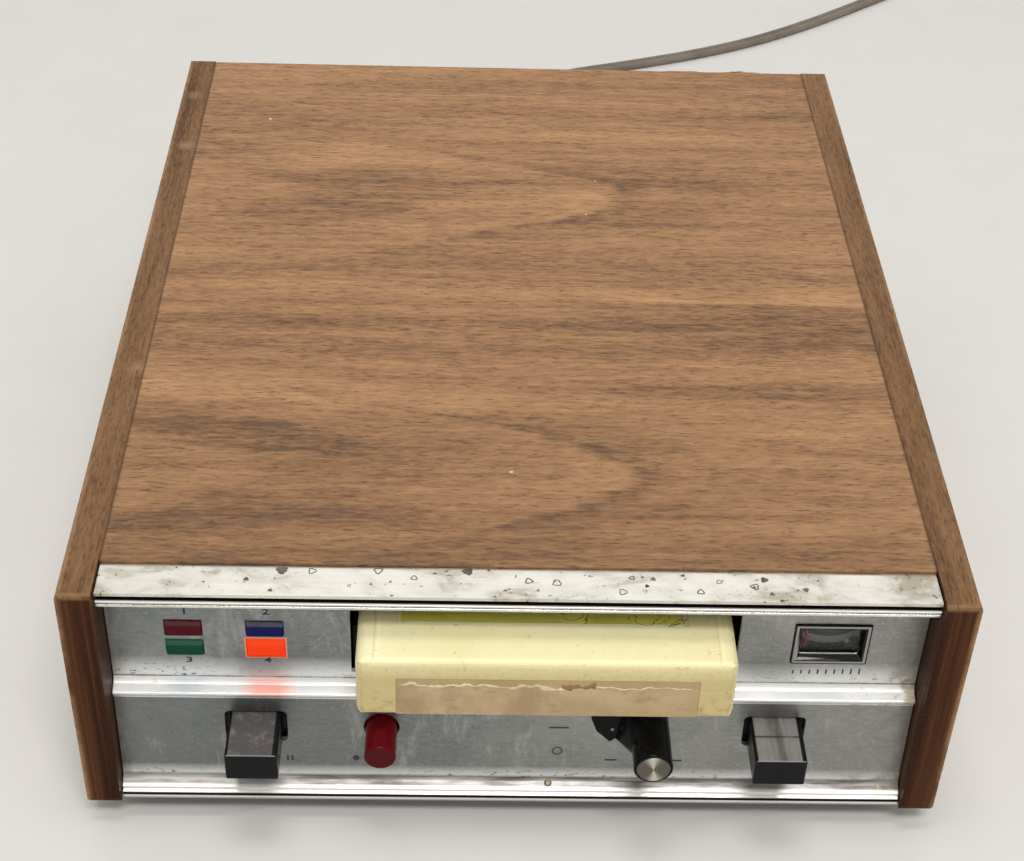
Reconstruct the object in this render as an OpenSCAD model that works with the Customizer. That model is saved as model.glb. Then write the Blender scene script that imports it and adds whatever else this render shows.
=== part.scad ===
// Tabletop 8 track tape recorder in a walnut case, with a cartridge in its slot.
// Millimetres. X runs to the right, Y to the back and Z up.
// The origin is on the floor, in the middle of the machine's own outline.
// Front, back and height of the works are measured from the case's own front and underside.

/* [Case] */
// Width over both side panels
case_w = 241; // [232:1:260]
// Depth of the side panels
case_d = 292; // [286:1:320]
// Height of the side panels
case_h = 81.5; // [80:0.5:95]
// Thickness of a side panel
side_t = 9.4; // [8:0.2:11]
// Thickness of the top panel
top_t = 9.4; // [8:0.2:10.6]
// Radius of the side panels' lower outer edge
side_r = 3; // [1:0.5:4]
// Height of the case's underside above the floor
case_lift = 8; // [6:0.5:12]

/* [Top trim strip] */
// Depth of the strip from front to back
strip_d = 11.4; // [10:0.2:14]
// Wall of the strip
strip_t = 1; // [0.8:0.1:1.2]
// Drop from the top of the side panels to the strip
strip_drop = 1.3; // [0.8:0.1:1.6]

/* [Front panel] */
// Wall of the front panel
panel_t = 1.5; // [1.2:0.1:1.8]
// Drop from the top of the side panels to the panel's top flange
flange_drop = 4.2; // [3.8:0.1:5]
// How far the flange and the sill stand behind the side panels' fronts
panel_y = 2.8; // [2:0.2:4]
// How far the upper face stands behind the side panels' fronts
upper_y = 10.9; // [10:0.1:12]
// How far the top of the lower face stands behind the side panels' fronts
lower_y = 8; // [7.4:0.1:8.6]
// How far the lower face leans forward at its foot
lower_lean = 1.9; // [1:0.1:2.2]
// Drop from the top of the side panels to the front edge of the middle ledge
ledge_drop = 43.1; // [42.3:0.2:43.9]
// Depth of the middle ledge in front of the lower face
ledge_out = 1.3; // [0.8:0.1:1.5]
// Height of the fold at the foot of the lower face
fold_z = 6.6; // [5.8:0.2:7.4]
// Radius of the coves where the faces run out into the ledges
cove_r = 2.4; // [1.5:0.1:3]

/* [Cartridge] */
// Width of the cartridge
cart_w = 101.5; // [100:0.5:103]
// Length of the cartridge
cart_l = 133.4; // [130:0.2:135]
// Thickness of the cartridge
cart_t = 20.5; // [19.8:0.1:21.2]
// Middle of the slot, right of the machine's middle
cart_x = 7.4; // [5:0.2:9]
// How far the cartridge stands in front of the side panels
cart_out = 5.4; // [3:0.2:8]
// Drop from the top of the side panels to the underside of the cartridge
cart_drop = 37.3; // [36.6:0.1:37.5]
// Wall of the cartridge's shells
shell_t = 1.6; // [1.4:0.1:2]
// Radius of the cartridge's edges
cart_r = 3; // [2:0.2:3.6]
// Width of the top label
top_label_w = 78.4; // [70:0.2:82]
// Width of the front label
front_label_w = 81; // [74:0.2:84]
// Height of the front label
front_label_h = 14.3; // [12:0.1:16]
// Diameter of the cartridge's pinch roller
roller_d = 15; // [14:0.2:16]
// Middle of the pinch roller, in from the right side of the cartridge
roller_in = 20; // [18:0.5:22]
// Diameter of the wound tape
tape_d = 84; // [76:1:88]

/* [Slot] */
// Gap beside the cartridge in the slot
slot_side = 2.1; // [1.4:0.1:2.6]
// Gap above the cartridge in the slot
slot_above = 2.6; // [1.5:0.1:3]
// Gap under the cartridge
slot_below = 0.3; // [0.2:0.05:0.5]

/* [Program windows] */
// Width of a window
window_w = 10.4; // [9:0.2:12]
// Height of a window
window_h = 6.2; // [5.6:0.1:6.4]
// Pitch of the windows across
window_px = 21.9; // [18:0.1:24]
// Pitch of the windows up and down
window_pz = 7.3; // [7.1:0.1:8]
// Middle of the four windows, in from the left side
window_in = 41.1; // [39:0.1:43]
// Drop from the top of the side panels to the middle of the four windows
window_drop = 25; // [24:0.1:26]
// Depth of the lamp housing
lamp_d = 20; // [16:0.5:26]

/* [Meter] */
// Width of the meter's frame
meter_w = 20.8; // [19:0.2:22]
// Height of the meter's frame
meter_h = 14.6; // [13.6:0.2:16]
// Depth of the meter's case behind the panel
meter_d = 22; // [20:0.5:28]
// Reach of the meter's needle
needle_r = 13.7; // [12.5:0.1:14.5]
// Middle of the meter, in from the right side
meter_in = 35.1; // [33.5:0.1:36.5]
// Drop from the top of the side panels to the middle of the meter
meter_drop = 24.5; // [23.5:0.1:25.5]
// How far the needle stands left of the middle at rest, degrees
needle_rest = 26; // [20:1:28]

/* [Buttons] */
// Width of a button's cap
button_w = 14.4; // [13:0.2:15.4]
// Height of a button's cap
button_h = 9.6; // [9:0.2:10.4]
// How far the caps stand in front of the side panels
button_out = 8; // [6:0.5:10]
// Middle of the program button, in from the left side
program_in = 48.3; // [46.5:0.1:49.5]
// Middle of the eject button, in from the right side
eject_in = 47.7; // [45:0.1:49.5]
// Drop from the top of the side panels to the middle of the buttons
button_drop = 55.9; // [55.1:0.1:56.9]
// Travel of the buttons
button_travel = 4; // [3:0.2:4.6]
// Gap round a cap in its hole, across
hole_side = 1.5; // [1:0.1:1.8]
// Gap round a cap in its hole, up and down
hole_above = 0.8; // [0.5:0.1:1]
// Diameter of the record button
record_d = 8.8; // [8:0.1:9.4]
// Gap round the record button
record_gap = 0.65; // [0.4:0.05:0.8]
// How far the record button stands in front of the side panels
record_out = 4.2; // [3:0.2:6]
// Middle of the record button, left of the machine's middle
record_x = 37.3; // [36:0.1:39]
// Diameter of the stems behind the buttons
stem_d = 5; // [4:0.2:5.4]
// Wire of the return springs
wire_d = 0.8; // [0.6:0.1:0.9]

/* [Function knob] */
// Diameter of the knob's barrel
knob_d = 10.8; // [10:0.2:11.4]
// How far the knob stands in front of the side panels
knob_out = 12; // [10:0.5:15]
// Middle of the knob, right of the machine's middle
knob_x = 37.2; // [35:0.2:39]
// Drop from the top of the side panels to the middle of the knob
knob_drop = 50.3; // [49.9:0.1:50.9]
// Length of the pointer wing from the knob's axis
wing_l = 16.3; // [15:0.1:16.6]
// Half width of the pointer wing
wing_half = 8.5; // [8:0.1:8.8]
// Thickness of the pointer wing
wing_t = 1.3; // [1:0.1:2]
// Angle of the wing above the level at rest, degrees
wing_rest = 6; // [0:1:8]
// Diameter of the switch shaft
shaft_d = 6; // [5:0.1:6.4]

/* [Deck] */
// Sheet of the deck plate and its brackets
deck_t = 1.2; // [1:0.1:1.4]
// Width of the deck plate
deck_w = 126; // [125:0.5:129]
// Diameter of the capstan
capstan_d = 4.76; // [4.4:0.02:5]
// Diameter of the flywheel
wheel_d = 58; // [54:0.5:58.5]
// Thickness of the flywheel
wheel_t = 13; // [11:0.5:14]
// Diameter of the motor
motor_d = 50; // [44:0.5:52]
// Height of the motor
motor_h = 25; // [22:0.5:26]
// Distance of the motor's shaft behind the capstan
motor_back = 77; // [72:0.5:80]
// Distance of the motor's shaft left of the slot's middle
motor_left = 15.4; // [12:0.1:18]
// Diameter of the motor pulley
pulley_d = 10; // [9:0.2:12]
// Width of the drive belt
belt_w = 5; // [4:0.2:6]
// Thickness of the drive belt
belt_t = 1; // [0.8:0.1:1.2]
// Lift of the head over the four programs
head_lift = 1.8; // [1.4:0.1:2]

/* [Back and underside] */
// How far the rear panel is set in
back_in = 7; // [6:0.5:9]
// Sheet of the rear panel and the base plate
sheet_t = 1; // [0.8:0.1:1.2]
// Diameter of a foot
foot_d = 20; // [16:0.5:24]
// Distance of the cord's exit left of the machine's middle
exit_x = 40; // [39:0.2:41]
// Depth of the circuit board
board_d = 74; // [68:0.5:78]
// Middle of the transformer, in from the right side
transformer_in = 50.5; // [48:0.5:54]

/* [Cord] */
// Width of the twin cord
cord_w = 6; // [5.6:0.1:6.4]
// Thickness of the twin cord
cord_t = 3.2; // [2.8:0.1:3.4]

/* [Hidden] */

$fn = 48;
fit = 0.06;              // radial clearance of a turning or sliding pin
seat = 0.2;              // gap between pieces that are only laid together
eps = 0.01;
corner_steps = 5;        // facets of a rounded corner

front_y = -(case_d - knob_out) / 2;      // the case's front in the machine's own frame
inner_w = case_w - 2 * side_t;
panel_w = inner_w - 0.6;
top_z = case_h - top_t;                  // underside of the top panel
flange_z = case_h - flange_drop;         // top of the front panel's flange
ledge_z = case_h - ledge_drop;
cart_z = case_h - cart_drop;             // underside of the cartridge
window_x = case_w / 2 - window_in;
window_z = case_h - window_drop;
meter_x = case_w / 2 - meter_in;
meter_z = case_h - meter_drop;
program_x = case_w / 2 - program_in;
eject_x = case_w / 2 - eject_in;
button_z = case_h - button_drop;
knob_z = case_h - knob_drop;
flange_t = 1;
ledge_rise = 2;                          // slope of the middle ledge
sill_z = 4.2;                            // edge of the bottom ledge
base_z = 2;                              // underside of the base plate
floor_z = base_z + sheet_t;              // inside floor
strip_back = panel_y + strip_d;
panel_back = upper_y + panel_t;          // back of the upper face

slot_w = cart_w + 2 * slot_side;
slot_z = cart_z - slot_below;
slot_h = cart_t + slot_below + slot_above;
deck_z = slot_z;                         // top of the deck plate
deck_y = panel_back + 0.6;
cart_back = cart_l - cart_out;           // rear end of the cartridge
roller_x = cart_x + cart_w / 2 - roller_in;
roller_y = cart_back - roller_d / 2 + 0.5;
capstan_y = roller_y + roller_d / 2 + 0.3 + capstan_d / 2;
wheel_z = 15;                            // underside of the flywheel
motor_x = cart_x - motor_left;
motor_y = capstan_y + motor_back;
motor_lip = 2;                           // flange round the foot of the motor
deck_end = motor_y + motor_d / 2 + 4;
deck_l = deck_end - deck_y;
belt_z = wheel_z + wheel_t / 2 - belt_w / 2;
belt_angle = atan2(motor_y - capstan_y, motor_x - roller_x);
head_x = cart_x - 24;
head_y = cart_back + 0.3;
head_z = cart_z + 3.4;
sensor_x = head_x - 20;
post_r = 1.5;                            // posts that the head's carriage slides on
post_half = 9;
cam_x = head_x;
cam_y = head_y + 32;
cam_r = 8;                               // radius of the follower's track
cam_turn = 135;                          // turn over the four programs
wheel_tip = 11.2;                        // radius of the ratchet wheel's teeth
plunger_travel = 3;
solenoid_x = cam_x - 29;
stem_r = stem_d / 2;
guide_y = 24;                            // front upright of the button brackets
guide_d = 16;                            // spread of the two uprights
guide_top = button_z + 10.4;
flange_y = lower_y + panel_t - 0.1;      // front of a button's retaining flange
flange_l = 1.4;
stem_end = guide_y + guide_d + 2;
rear_y = case_d - back_in - sheet_t;
exit_z = 20;
relief_l = 30;
screw_r = 1.5;
cleat = 10;
foot_x = inner_w / 2 - cleat - 4.1;
foot_y = [30, case_d - 30];
cleat_y = 44;
cleat_screw_y = [60, 160, rear_y - 34];

// ---------------------------------------------------------------- helpers

module in_case() translate([0, front_y, case_lift]) children();

// A flat shape drawn in Y and Z, drawn out along X about the middle
module along_x(w) translate([-w / 2, 0, 0]) rotate([90, 0, 90]) linear_extrude(w) children();

// A flat shape drawn in X and Z, drawn out along Y from zero
module along_y(d) translate([0, d, 0]) rotate([90, 0, 0]) linear_extrude(d) children();

// A cylinder along Y that starts at zero
module rod_y(r, d) rotate([-90, 0, 0]) cylinder(r = r, h = d);

function unit(v) = v / norm(v);

// The arc that rounds corner b, between a and c
function corner_arc(a, b, c, r) =
    let (u = unit(a - b), v = unit(c - b), half = acos(u * v) / 2,
         mid = b + unit(u + v) * r / sin(half),
         from = b + u * r / tan(half) - mid, to = b + v * r / tan(half) - mid,
         a0 = atan2(from[1], from[0]), turn = atan2(to[1], to[0]) - a0,
         sweep = turn > 180 ? turn - 360 : turn < -180 ? turn + 360 : turn)
    [for (i = [0:corner_steps])
        let (t = a0 + sweep * i / corner_steps) mid + r * [cos(t), sin(t)]];

// An outline from corners [x, y, radius]
function rounded(corners) =
    let (n = len(corners))
    [for (i = [0:n - 1])
        let (c = corners[i], p = [c[0], c[1]],
             before = corners[(i + n - 1) % n], after = corners[(i + 1) % n])
        each c[2] > 0
            ? corner_arc([before[0], before[1]], p, [after[0], after[1]], c[2])
            : [p]];

// A rounded rectangle about the middle
module pad(w, h, r) polygon(rounded([
    [-w / 2, -h / 2, r], [w / 2, -h / 2, r], [w / 2, h / 2, r], [-w / 2, h / 2, r]
]));

// The level direction across a run
function level_side(t) = unit([t[1], -t[0], 0]);

// The section's points about point i of a run, where side(p, t) gives its first direction
function ring(points, i, section, side) =
    let (n = len(points), t = unit(points[min(i + 1, n - 1)] - points[max(i - 1, 0)]),
         s = side(points[i], t), up = cross(s, t))
    [for (q = section) points[i] + s * q[0] + up * q[1]];

// Triangles over n rings of m points each, and over both ends
function tube_faces(n, m) = concat(
    [for (k = [1:m - 2]) [0, k + 1, k]],
    [for (i = [0:n - 2], k = [0:m - 1])
        let (a = i * m + k, b = i * m + (k + 1) % m)
        each [[a, b, b + m], [a, b + m, a + m]]],
    [for (k = [1:m - 2]) [(n - 1) * m, (n - 1) * m + k, (n - 1) * m + k + 1]]
);

// A tube of the given section through a list of points
module sweep(points, section, side = function(p, t) level_side(t))
    polyhedron(
        points = [for (i = [0:len(points) - 1]) each ring(points, i, section, side)],
        faces = tube_faces(len(points), len(section))
    );

// ---------------------------------------------------------------- case

module side_panel(side) color("saddlebrown") in_case()
    translate([side * (inner_w + side_t) / 2, 0, 0]) mirror([side < 0 ? 1 : 0, 0, 0])
    difference() {
        intersection() {
            along_y(case_d) polygon(rounded([
                [-side_t / 2, 0, 0], [side_t / 2, 0, side_r],
                [side_t / 2, case_h, 1], [-side_t / 2, case_h, 0.5]
            ]));
            along_x(side_t) polygon(rounded([
                [0, 0, side_r], [case_d, 0, side_r], [case_d, case_h, 1], [0, case_h, 1.5]
            ]));
        }
        // a groove that the foot of the front panel stands in
        translate([-side_t / 2 - eps, panel_y - 1, -eps]) cube([0.4, panel_t + 2, sill_z]);
    }

module left_side_panel() side_panel(-1);
module right_side_panel() side_panel(1);

module top_panel() color("peru") in_case()
    along_x(inner_w) polygon(rounded([
        [strip_back + seat, top_z, 0], [case_d, top_z, 0.5],
        [case_d, case_h - 0.3, 1], [strip_back + seat, case_h - 0.3, 0.4]
    ]));

// A flat channel that stands with its two legs on the front panel's flange
module top_trim_strip() color("silver") in_case() {
    strip_top = case_h - strip_drop;
    leg_front = panel_y + 2;
    along_x(panel_w) polygon([
        [panel_y, strip_top], [panel_y, strip_top - strip_t],
        [leg_front, strip_top - strip_t], [leg_front, flange_z],
        [leg_front + strip_t, flange_z], [leg_front + strip_t, strip_top - strip_t],
        [strip_back - strip_t, strip_top - strip_t], [strip_back - strip_t, flange_z],
        [strip_back, flange_z], [strip_back, strip_top]
    ]);
}

// ---------------------------------------------------------------- front panel

function panel_outline() =
    let (foot_y = lower_y - lower_lean, ledge_y = lower_y - ledge_out)
    rounded([
        [panel_y, flange_z, 0.3], [panel_y, flange_z - flange_t, 0.3],
        [upper_y, flange_z - flange_t, 0.4],
        [upper_y, ledge_z + ledge_rise, cove_r],
        [ledge_y, ledge_z, 0.6], [lower_y, ledge_z - ledge_rise, 0.3],
        [foot_y, fold_z, cove_r],
        [panel_y + 0.2, sill_z, 0.4], [panel_y + 0.7, sill_z - 0.8, 0.2],
        [panel_y - 0.4, sill_z - 1.5, 0.3], [panel_y - 0.4, 0.3, 0.3],
        [panel_y - 0.4 + panel_t, 0.3, 0], [panel_y - 0.2 + panel_t, sill_z - 2.2, 0],
        [foot_y + panel_t, fold_z - 1, 1],
        [lower_y + panel_t, ledge_z - ledge_rise, 0],
        [panel_back, ledge_z + ledge_rise - 0.8, 0.4],
        [panel_back, flange_z - flange_t, 0],
        [strip_back, flange_z - flange_t, 0], [strip_back, flange_z, 0]
    ]);

module button_hole(x) translate([x, 0, button_z])
    along_y(panel_back) pad(button_w + 2 * hole_side, button_h + 2 * hole_above, 1.5);

module front_panel() color("gainsboro") in_case() difference() {
    along_x(panel_w) polygon(panel_outline());
    // the slot
    translate([cart_x - slot_w / 2, panel_y + 1, slot_z]) cube([slot_w, panel_back, slot_h]);
    // four program windows
    for (i = [0:1], j = [0:1])
        translate([window_at(i), panel_y + 1, window_up(j)])
            along_y(panel_back) pad(window_w, window_h, 0.3);
    // meter
    translate([meter_x, panel_y + 1, meter_z])
        along_y(panel_back) pad(meter_w + 2 * seat, meter_h + 2 * seat, 0.4);
    // buttons
    button_hole(-program_x);
    button_hole(eject_x);
    translate([-record_x, 0, button_z]) rod_y(record_d / 2 + record_gap, panel_back);
    // bush of the function switch
    translate([knob_x, 0, knob_z]) rod_y(bush_r + 0.1, panel_back);
}

// ---------------------------------------------------------------- program windows

function window_at(i) = -window_x + (i - 0.5) * window_px;
function window_up(j) = window_z + (0.5 - j) * window_pz;

lens_flange = 0.8;
cell_wall = 0.8;
cell_h = window_pz - cell_wall;
cell_w = window_w + 2;

module lens(i, j, tint) color(tint) in_case() translate([window_at(i), 0, window_up(j)]) {
    translate([0, upper_y - 0.3, 0]) along_y(0.6) pad(window_w - 0.9, window_h - 0.9, 0.2);
    translate([0, upper_y + 0.1, 0]) along_y(panel_t + 0.2) pad(window_w - 0.3, window_h - 0.3, 0.2);
    translate([0, panel_back, 0]) along_y(lens_flange) pad(cell_w - 0.3, cell_h - 0.2, 0);
}

module program_window_1() lens(0, 0, "firebrick");
module program_window_2() lens(1, 0, "midnightblue");
module program_window_3() lens(0, 1, "seagreen");
module program_window_4() lens(1, 1, "orangered");

// A black block with four cells, one behind each window
module lamp_housing() color("dimgray") in_case() {
    outer_w = window_px + cell_w + 2 * cell_wall;
    outer_h = window_pz + cell_h + 2 * cell_wall;
    difference() {
        translate([-window_x, panel_back, window_z]) along_y(lamp_d) pad(outer_w, outer_h, 1);
        for (i = [0:1], j = [0:1]) translate([window_at(i), panel_back - 1, window_up(j)]) {
            along_y(lamp_d - 1) pad(cell_w, cell_h, 0.2);
            rod_y(bulb_r + 0.3 + fit, lamp_d + 2);
        }
    }
}

bulb_r = 2.2;

module program_lamps() color("gold") in_case()
    for (i = [0:1], j = [0:1]) translate([window_at(i), panel_back + lamp_d, window_up(j)])
        mirror([0, 1, 0]) {
            translate([0, -3, 0]) rod_y(bulb_r + 0.3, 7);
            translate([0, 4, 0]) rod_y(bulb_r, 5);
            translate([0, 9, 0]) sphere(r = bulb_r);
        }

// ---------------------------------------------------------------- meter

meter_wall = 1;
needle_y = upper_y + 3.8 + needle_r;     // spindle of the needle
spindle_r = 0.8;

module meter_case() color("dimgray") in_case() translate([meter_x, 0, meter_z]) difference() {
    union() {
        translate([0, upper_y - 0.5, 0]) along_y(meter_d + panel_t + 0.5) pad(meter_w, meter_h, 0.3);
        translate([0, panel_back, 0]) along_y(1.2) pad(meter_w + 4, meter_h + 3, 0.5);
    }
    translate([0, upper_y - 1, 0])
        along_y(meter_d + panel_t - 1) pad(meter_w - 2 * meter_wall, meter_h - 2 * meter_wall, 0.2);
    // bearing of the spindle
    translate([0, needle_y, -meter_h / 2 - 1]) cylinder(r = spindle_r + fit, h = meter_h + 2);
}

// A bright frame with a sloping inner edge
module meter_bezel() color("white") in_case() translate([meter_x, upper_y - 0.3, meter_z]) {
    w = meter_w - 2 * meter_wall - 0.1;
    h = meter_h - 2 * meter_wall - 0.1;
    difference() {
        along_y(1.8) pad(w, h, 0.2);
        translate([0, -eps, 0]) hull() {
            along_y(0.1) pad(w - 1, h - 1, 0.2);
            translate([0, 1.8, 0]) along_y(0.1) pad(w - 3, h - 3, 0.2);
        }
    }
}

module meter_window() color("lightcyan", 0.4) in_case() translate([meter_x, upper_y + 1.6, meter_z])
    along_y(0.8) pad(meter_w - 2 * meter_wall - 0.1, meter_h - 2 * meter_wall - 0.1, 0.2);

// A scale card bowed round the spindle, with a rib at each end against the side of the case
module meter_scale() color("lightgray") in_case() {
    scale_r = needle_r - 0.9;
    scale_h = meter_h - 2 * meter_wall - 3;
    wall_x = meter_w / 2 - meter_wall - 0.1;
    end_x = wall_x - 1.2;
    end_y = -sqrt(scale_r * scale_r - end_x * end_x);
    translate([meter_x, needle_y, meter_z + 0.9 - scale_h / 2]) linear_extrude(scale_h) {
        difference() {
            circle(r = scale_r, $fn = 96);
            circle(r = scale_r - 0.5, $fn = 96);
            translate([-2 * scale_r, end_y + 0.4]) square(4 * scale_r);
        }
        for (s = [-1, 1]) translate([s * (wall_x - 0.8) - 0.8, end_y - 0.4]) square([1.6, 1.2]);
    }
}

module meter_needle() color("red") in_case() translate([meter_x, needle_y, meter_z]) {
    arm_z = -meter_h / 2 + meter_wall + 0.5;
    cylinder(r = spindle_r, h = meter_h - 0.6, center = true);
    translate([0, 0, arm_z]) cylinder(r = 1.6, h = 1.2);
    rotate([0, 0, -needle_rest]) {
        translate([-0.4, -needle_r, arm_z]) cube([0.8, needle_r, 0.6]);
        translate([-0.25, -needle_r, arm_z]) cube([0.5, 0.4, 10]);
    }
}

// ---------------------------------------------------------------- buttons

// Cap with bevelled front edges, a retaining flange behind the panel, and a round stem
module push_button(x) color("dimgray") in_case() translate([x, 0, button_z]) {
    bevel = 0.5;
    cap_l = button_out + flange_y + 0.2;
    translate([0, -button_out, 0]) intersection() {
        along_y(cap_l) pad(button_w, button_h, 1);
        translate([0, 0, -button_h / 2]) linear_extrude(button_h) polygon(rounded([
            [-button_w / 2, 0, bevel], [button_w / 2, 0, bevel],
            [button_w / 2, cap_l, 0], [-button_w / 2, cap_l, 0]
        ]));
        along_x(button_w) polygon(rounded([
            [0, -button_h / 2, bevel], [cap_l, -button_h / 2, 0],
            [cap_l, button_h / 2, 0], [0, button_h / 2, bevel]
        ]));
    }
    translate([0, flange_y, 0]) along_y(flange_l)
        pad(button_w + 2 * hole_side + 2, button_h + 2 * hole_above + 2, 1);
    translate([0, flange_y, 0]) rod_y(stem_r, stem_end - flange_y);
}

module program_button() push_button(-program_x);
module eject_button() push_button(eject_x);

module record_button() color("crimson") in_case() translate([-record_x, 0, button_z]) {
    r = record_d / 2;
    translate([0, -record_out, 0]) rotate([-90, 0, 0]) rotate_extrude() polygon(concat(
        [[0, 0]],
        [for (a = [0:15:90]) [r - 0.6 + 0.6 * sin(a), 0.6 - 0.6 * cos(a)]],
        [[r, record_out + flange_y], [r + record_gap + 1.4, record_out + flange_y],
         [r + record_gap + 1.4, record_out + flange_y + flange_l], [0, record_out + flange_y + flange_l]]
    ));
    translate([0, flange_y, 0]) rod_y(stem_r, stem_end - flange_y);
}

// A folded U of sheet with a guide hole for each stem in both uprights
module button_bracket(x0, x1, stems) color("darkgray") in_case() difference() {
    along = x1 - x0;
    translate([(x0 + x1) / 2, 0, 0]) along_x(along) polygon([
        [guide_y, floor_z], [guide_y + guide_d, floor_z], [guide_y + guide_d, guide_top],
        [guide_y + guide_d - deck_t, guide_top], [guide_y + guide_d - deck_t, floor_z + deck_t],
        [guide_y + deck_t, floor_z + deck_t], [guide_y + deck_t, guide_top], [guide_y, guide_top]
    ]);
    for (x = stems) translate([x, guide_y - 1, button_z]) rod_y(stem_r + fit, guide_d + 2);
}

module left_button_bracket() button_bracket(-program_x - 12, -record_x + 10, [-program_x, -record_x]);
module right_button_bracket() button_bracket(eject_x - 12, eject_x + 12, [eject_x]);

// A return spring on each stem, drawn at its pressed length against the front upright
module button_springs() color("lightsteelblue") in_case() {
    turns = 5;
    steps = 8;
    r = stem_r + 0.4 + wire_d / 2;
    back = guide_y - 0.3 - wire_d / 2;
    front = flange_y + flange_l + button_travel + 0.3 + wire_d / 2;
    wire = [for (k = [0:5]) wire_d / 2 * [cos(60 * k), sin(60 * k)]];
    for (x = [-program_x, -record_x, eject_x]) {
        helix = [for (i = [0:turns * steps]) let (a = 360 * i / steps)
            [x + r * cos(a), front + (back - front) * i / (turns * steps), button_z + r * sin(a)]];
        sweep(helix, wire, function(p, t) unit([p[0] - x, 0, p[2] - button_z]));
    }
}

// ---------------------------------------------------------------- function knob and switch

wing_back = lower_y - lower_lean - 0.2;  // back of the wing, just clear of the panel
bush_r = 4.5;
switch_y = panel_back + 0.6;
switch_l = 15;
cap_t = 0.6;

// Barrel, a pointer wing shaped like an arrow's head, and the web from the wing out to the barrel
module function_knob() color("dimgray") in_case() translate([knob_x, 0, knob_z])
    rotate([0, wing_rest, 0]) difference() {
        shoulder = 2.2 - wing_l;
        barb = 6.5 - wing_l;
        side = knob_d / 2 - 0.2;
        neck = wing_half - 1.5;
        union() {
            translate([0, -knob_out, 0]) rotate([-90, 0, 0]) rotate_extrude() polygon(concat(
                [[0, 0]],
                [for (a = [0:15:90]) [knob_d / 2 - 0.5 + 0.5 * sin(a), 0.5 - 0.5 * cos(a)]],
                [[knob_d / 2, knob_out + wing_back], [0, knob_out + wing_back]]
            ));
            translate([0, wing_back - wing_t, 0]) along_y(wing_t) polygon([
                [-wing_l, 0], [shoulder, wing_half - 3.8], [barb, wing_half], [barb + 1.4, neck],
                [0, side], [0, -side], [barb + 1.4, -neck], [barb, -wing_half],
                [shoulder, 3.8 - wing_half]
            ]);
            hull() {
                translate([0, wing_back - wing_t, 0]) along_y(0.4)
                    polygon([[barb + 1.4, neck], [barb + 1.4, -neck], [0, -side], [0, side]]);
                translate([0, 7.2 - knob_out, 0]) rod_y(knob_d / 2 - 0.1, 0.4, $fn = 32);
            }
        }
        translate([0, -1, 0]) rod_y(shaft_d / 2 + fit, wing_back + 2);
        translate([0, -knob_out - 1, 0]) rod_y(knob_d / 2 - 0.8 + 0.05, 1 + cap_t - 0.2);
    }

module function_knob_cap() color("white") in_case() translate([knob_x, -knob_out - 0.2, knob_z])
    rotate([-90, 0, 0]) rotate_extrude() polygon([
        [0, 0], [knob_d / 2 - 1, 0], [knob_d / 2 - 0.8, 0.2], [knob_d / 2 - 0.8, cap_t], [0, cap_t]
    ]);

module function_shaft() color("silver") in_case() translate([knob_x, -0.8, knob_z])
    rod_y(shaft_d / 2, switch_y + switch_l - 1);

module function_switch() color("tan") in_case() translate([knob_x, 0, knob_z]) difference() {
    union() {
        translate([0, lower_y + 0.4, 0]) rod_y(bush_r, switch_y - lower_y);
        translate([0, switch_y, -0.6]) along_y(switch_l) pad(20, 15.6, 2);
        for (k = [-1, 1]) translate([k * 6 - 1, switch_y + 5, -12]) cube([2, 1, 5]);
    }
    rod_y(shaft_d / 2 + fit, switch_y + switch_l - 1);
}

// ---------------------------------------------------------------- cartridge

label_in = 0.4;                          // depth of the label recesses
top_label_x = -1;
front_label_x = 0.4;
label_y = 14.2;                          // front edge of the top label behind the cartridge's front
rib_in = 5.4;                            // the raised side ribs, in from the sides
spindle_y = cart_back - 20 - tape_d / 2 - 0.5;
mouth_w = roller_d + 6;                  // opening for the roller in the rear end
mouth_h = 13.6;
roller_h = mouth_h - 1.2;

module in_cart() in_case() translate([cart_x, -cart_out, cart_z]) children();

// The closed outer form, rounded on every edge
module cart_form() intersection() {
    linear_extrude(cart_t) translate([0, cart_l / 2]) pad(cart_w, cart_l, cart_r);
    along_y(cart_l) translate([0, cart_t / 2]) pad(cart_w, cart_t, cart_r);
    along_x(cart_w) translate([cart_l / 2, cart_t / 2]) pad(cart_l, cart_t, cart_r - 1);
}

module cart_half(upper) {
    seam = cart_t / 2 + (upper ? 0.1 : -0.1);
    difference() {
        intersection() {
            cart_form();
            translate([-cart_w, -1, upper ? seam : -1])
                cube([2 * cart_w, cart_l + 2, upper ? cart_t : seam + 1]);
        }
        // the hollow that holds the reel
        translate([-cart_w / 2 + shell_t + 1.4, shell_t + 1, shell_t])
            cube([cart_w - 2 * shell_t - 2.8, cart_l - 2 * shell_t - 1.6, cart_t - 2 * shell_t]);
        // openings in the rear end for the roller, the head and the sensor
        for (x = [roller_x, head_x, sensor_x]) translate([x - cart_x, cart_l - 4, cart_t / 2])
            along_y(6) pad(x == roller_x ? mouth_w : 12, mouth_h, 1);
    }
}

module front_label_recess() translate([front_label_x - front_label_w / 2, -1, -1])
    cube([front_label_w, 1 + label_in, front_label_h + 1]);

module cartridge_top_shell() color("cornsilk") in_cart() difference() {
    union() {
        cart_half(true);
        for (s = [-1, 1]) translate([s * (cart_w / 2 - rib_in) - 0.5, 4, cart_t - 0.1])
            cube([1, cart_l - 8, 0.35]);
    }
    translate([top_label_x - top_label_w / 2, label_y, cart_t - label_in])
        cube([top_label_w, cart_l - label_y - 20, 1]);
    front_label_recess();
}

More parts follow.
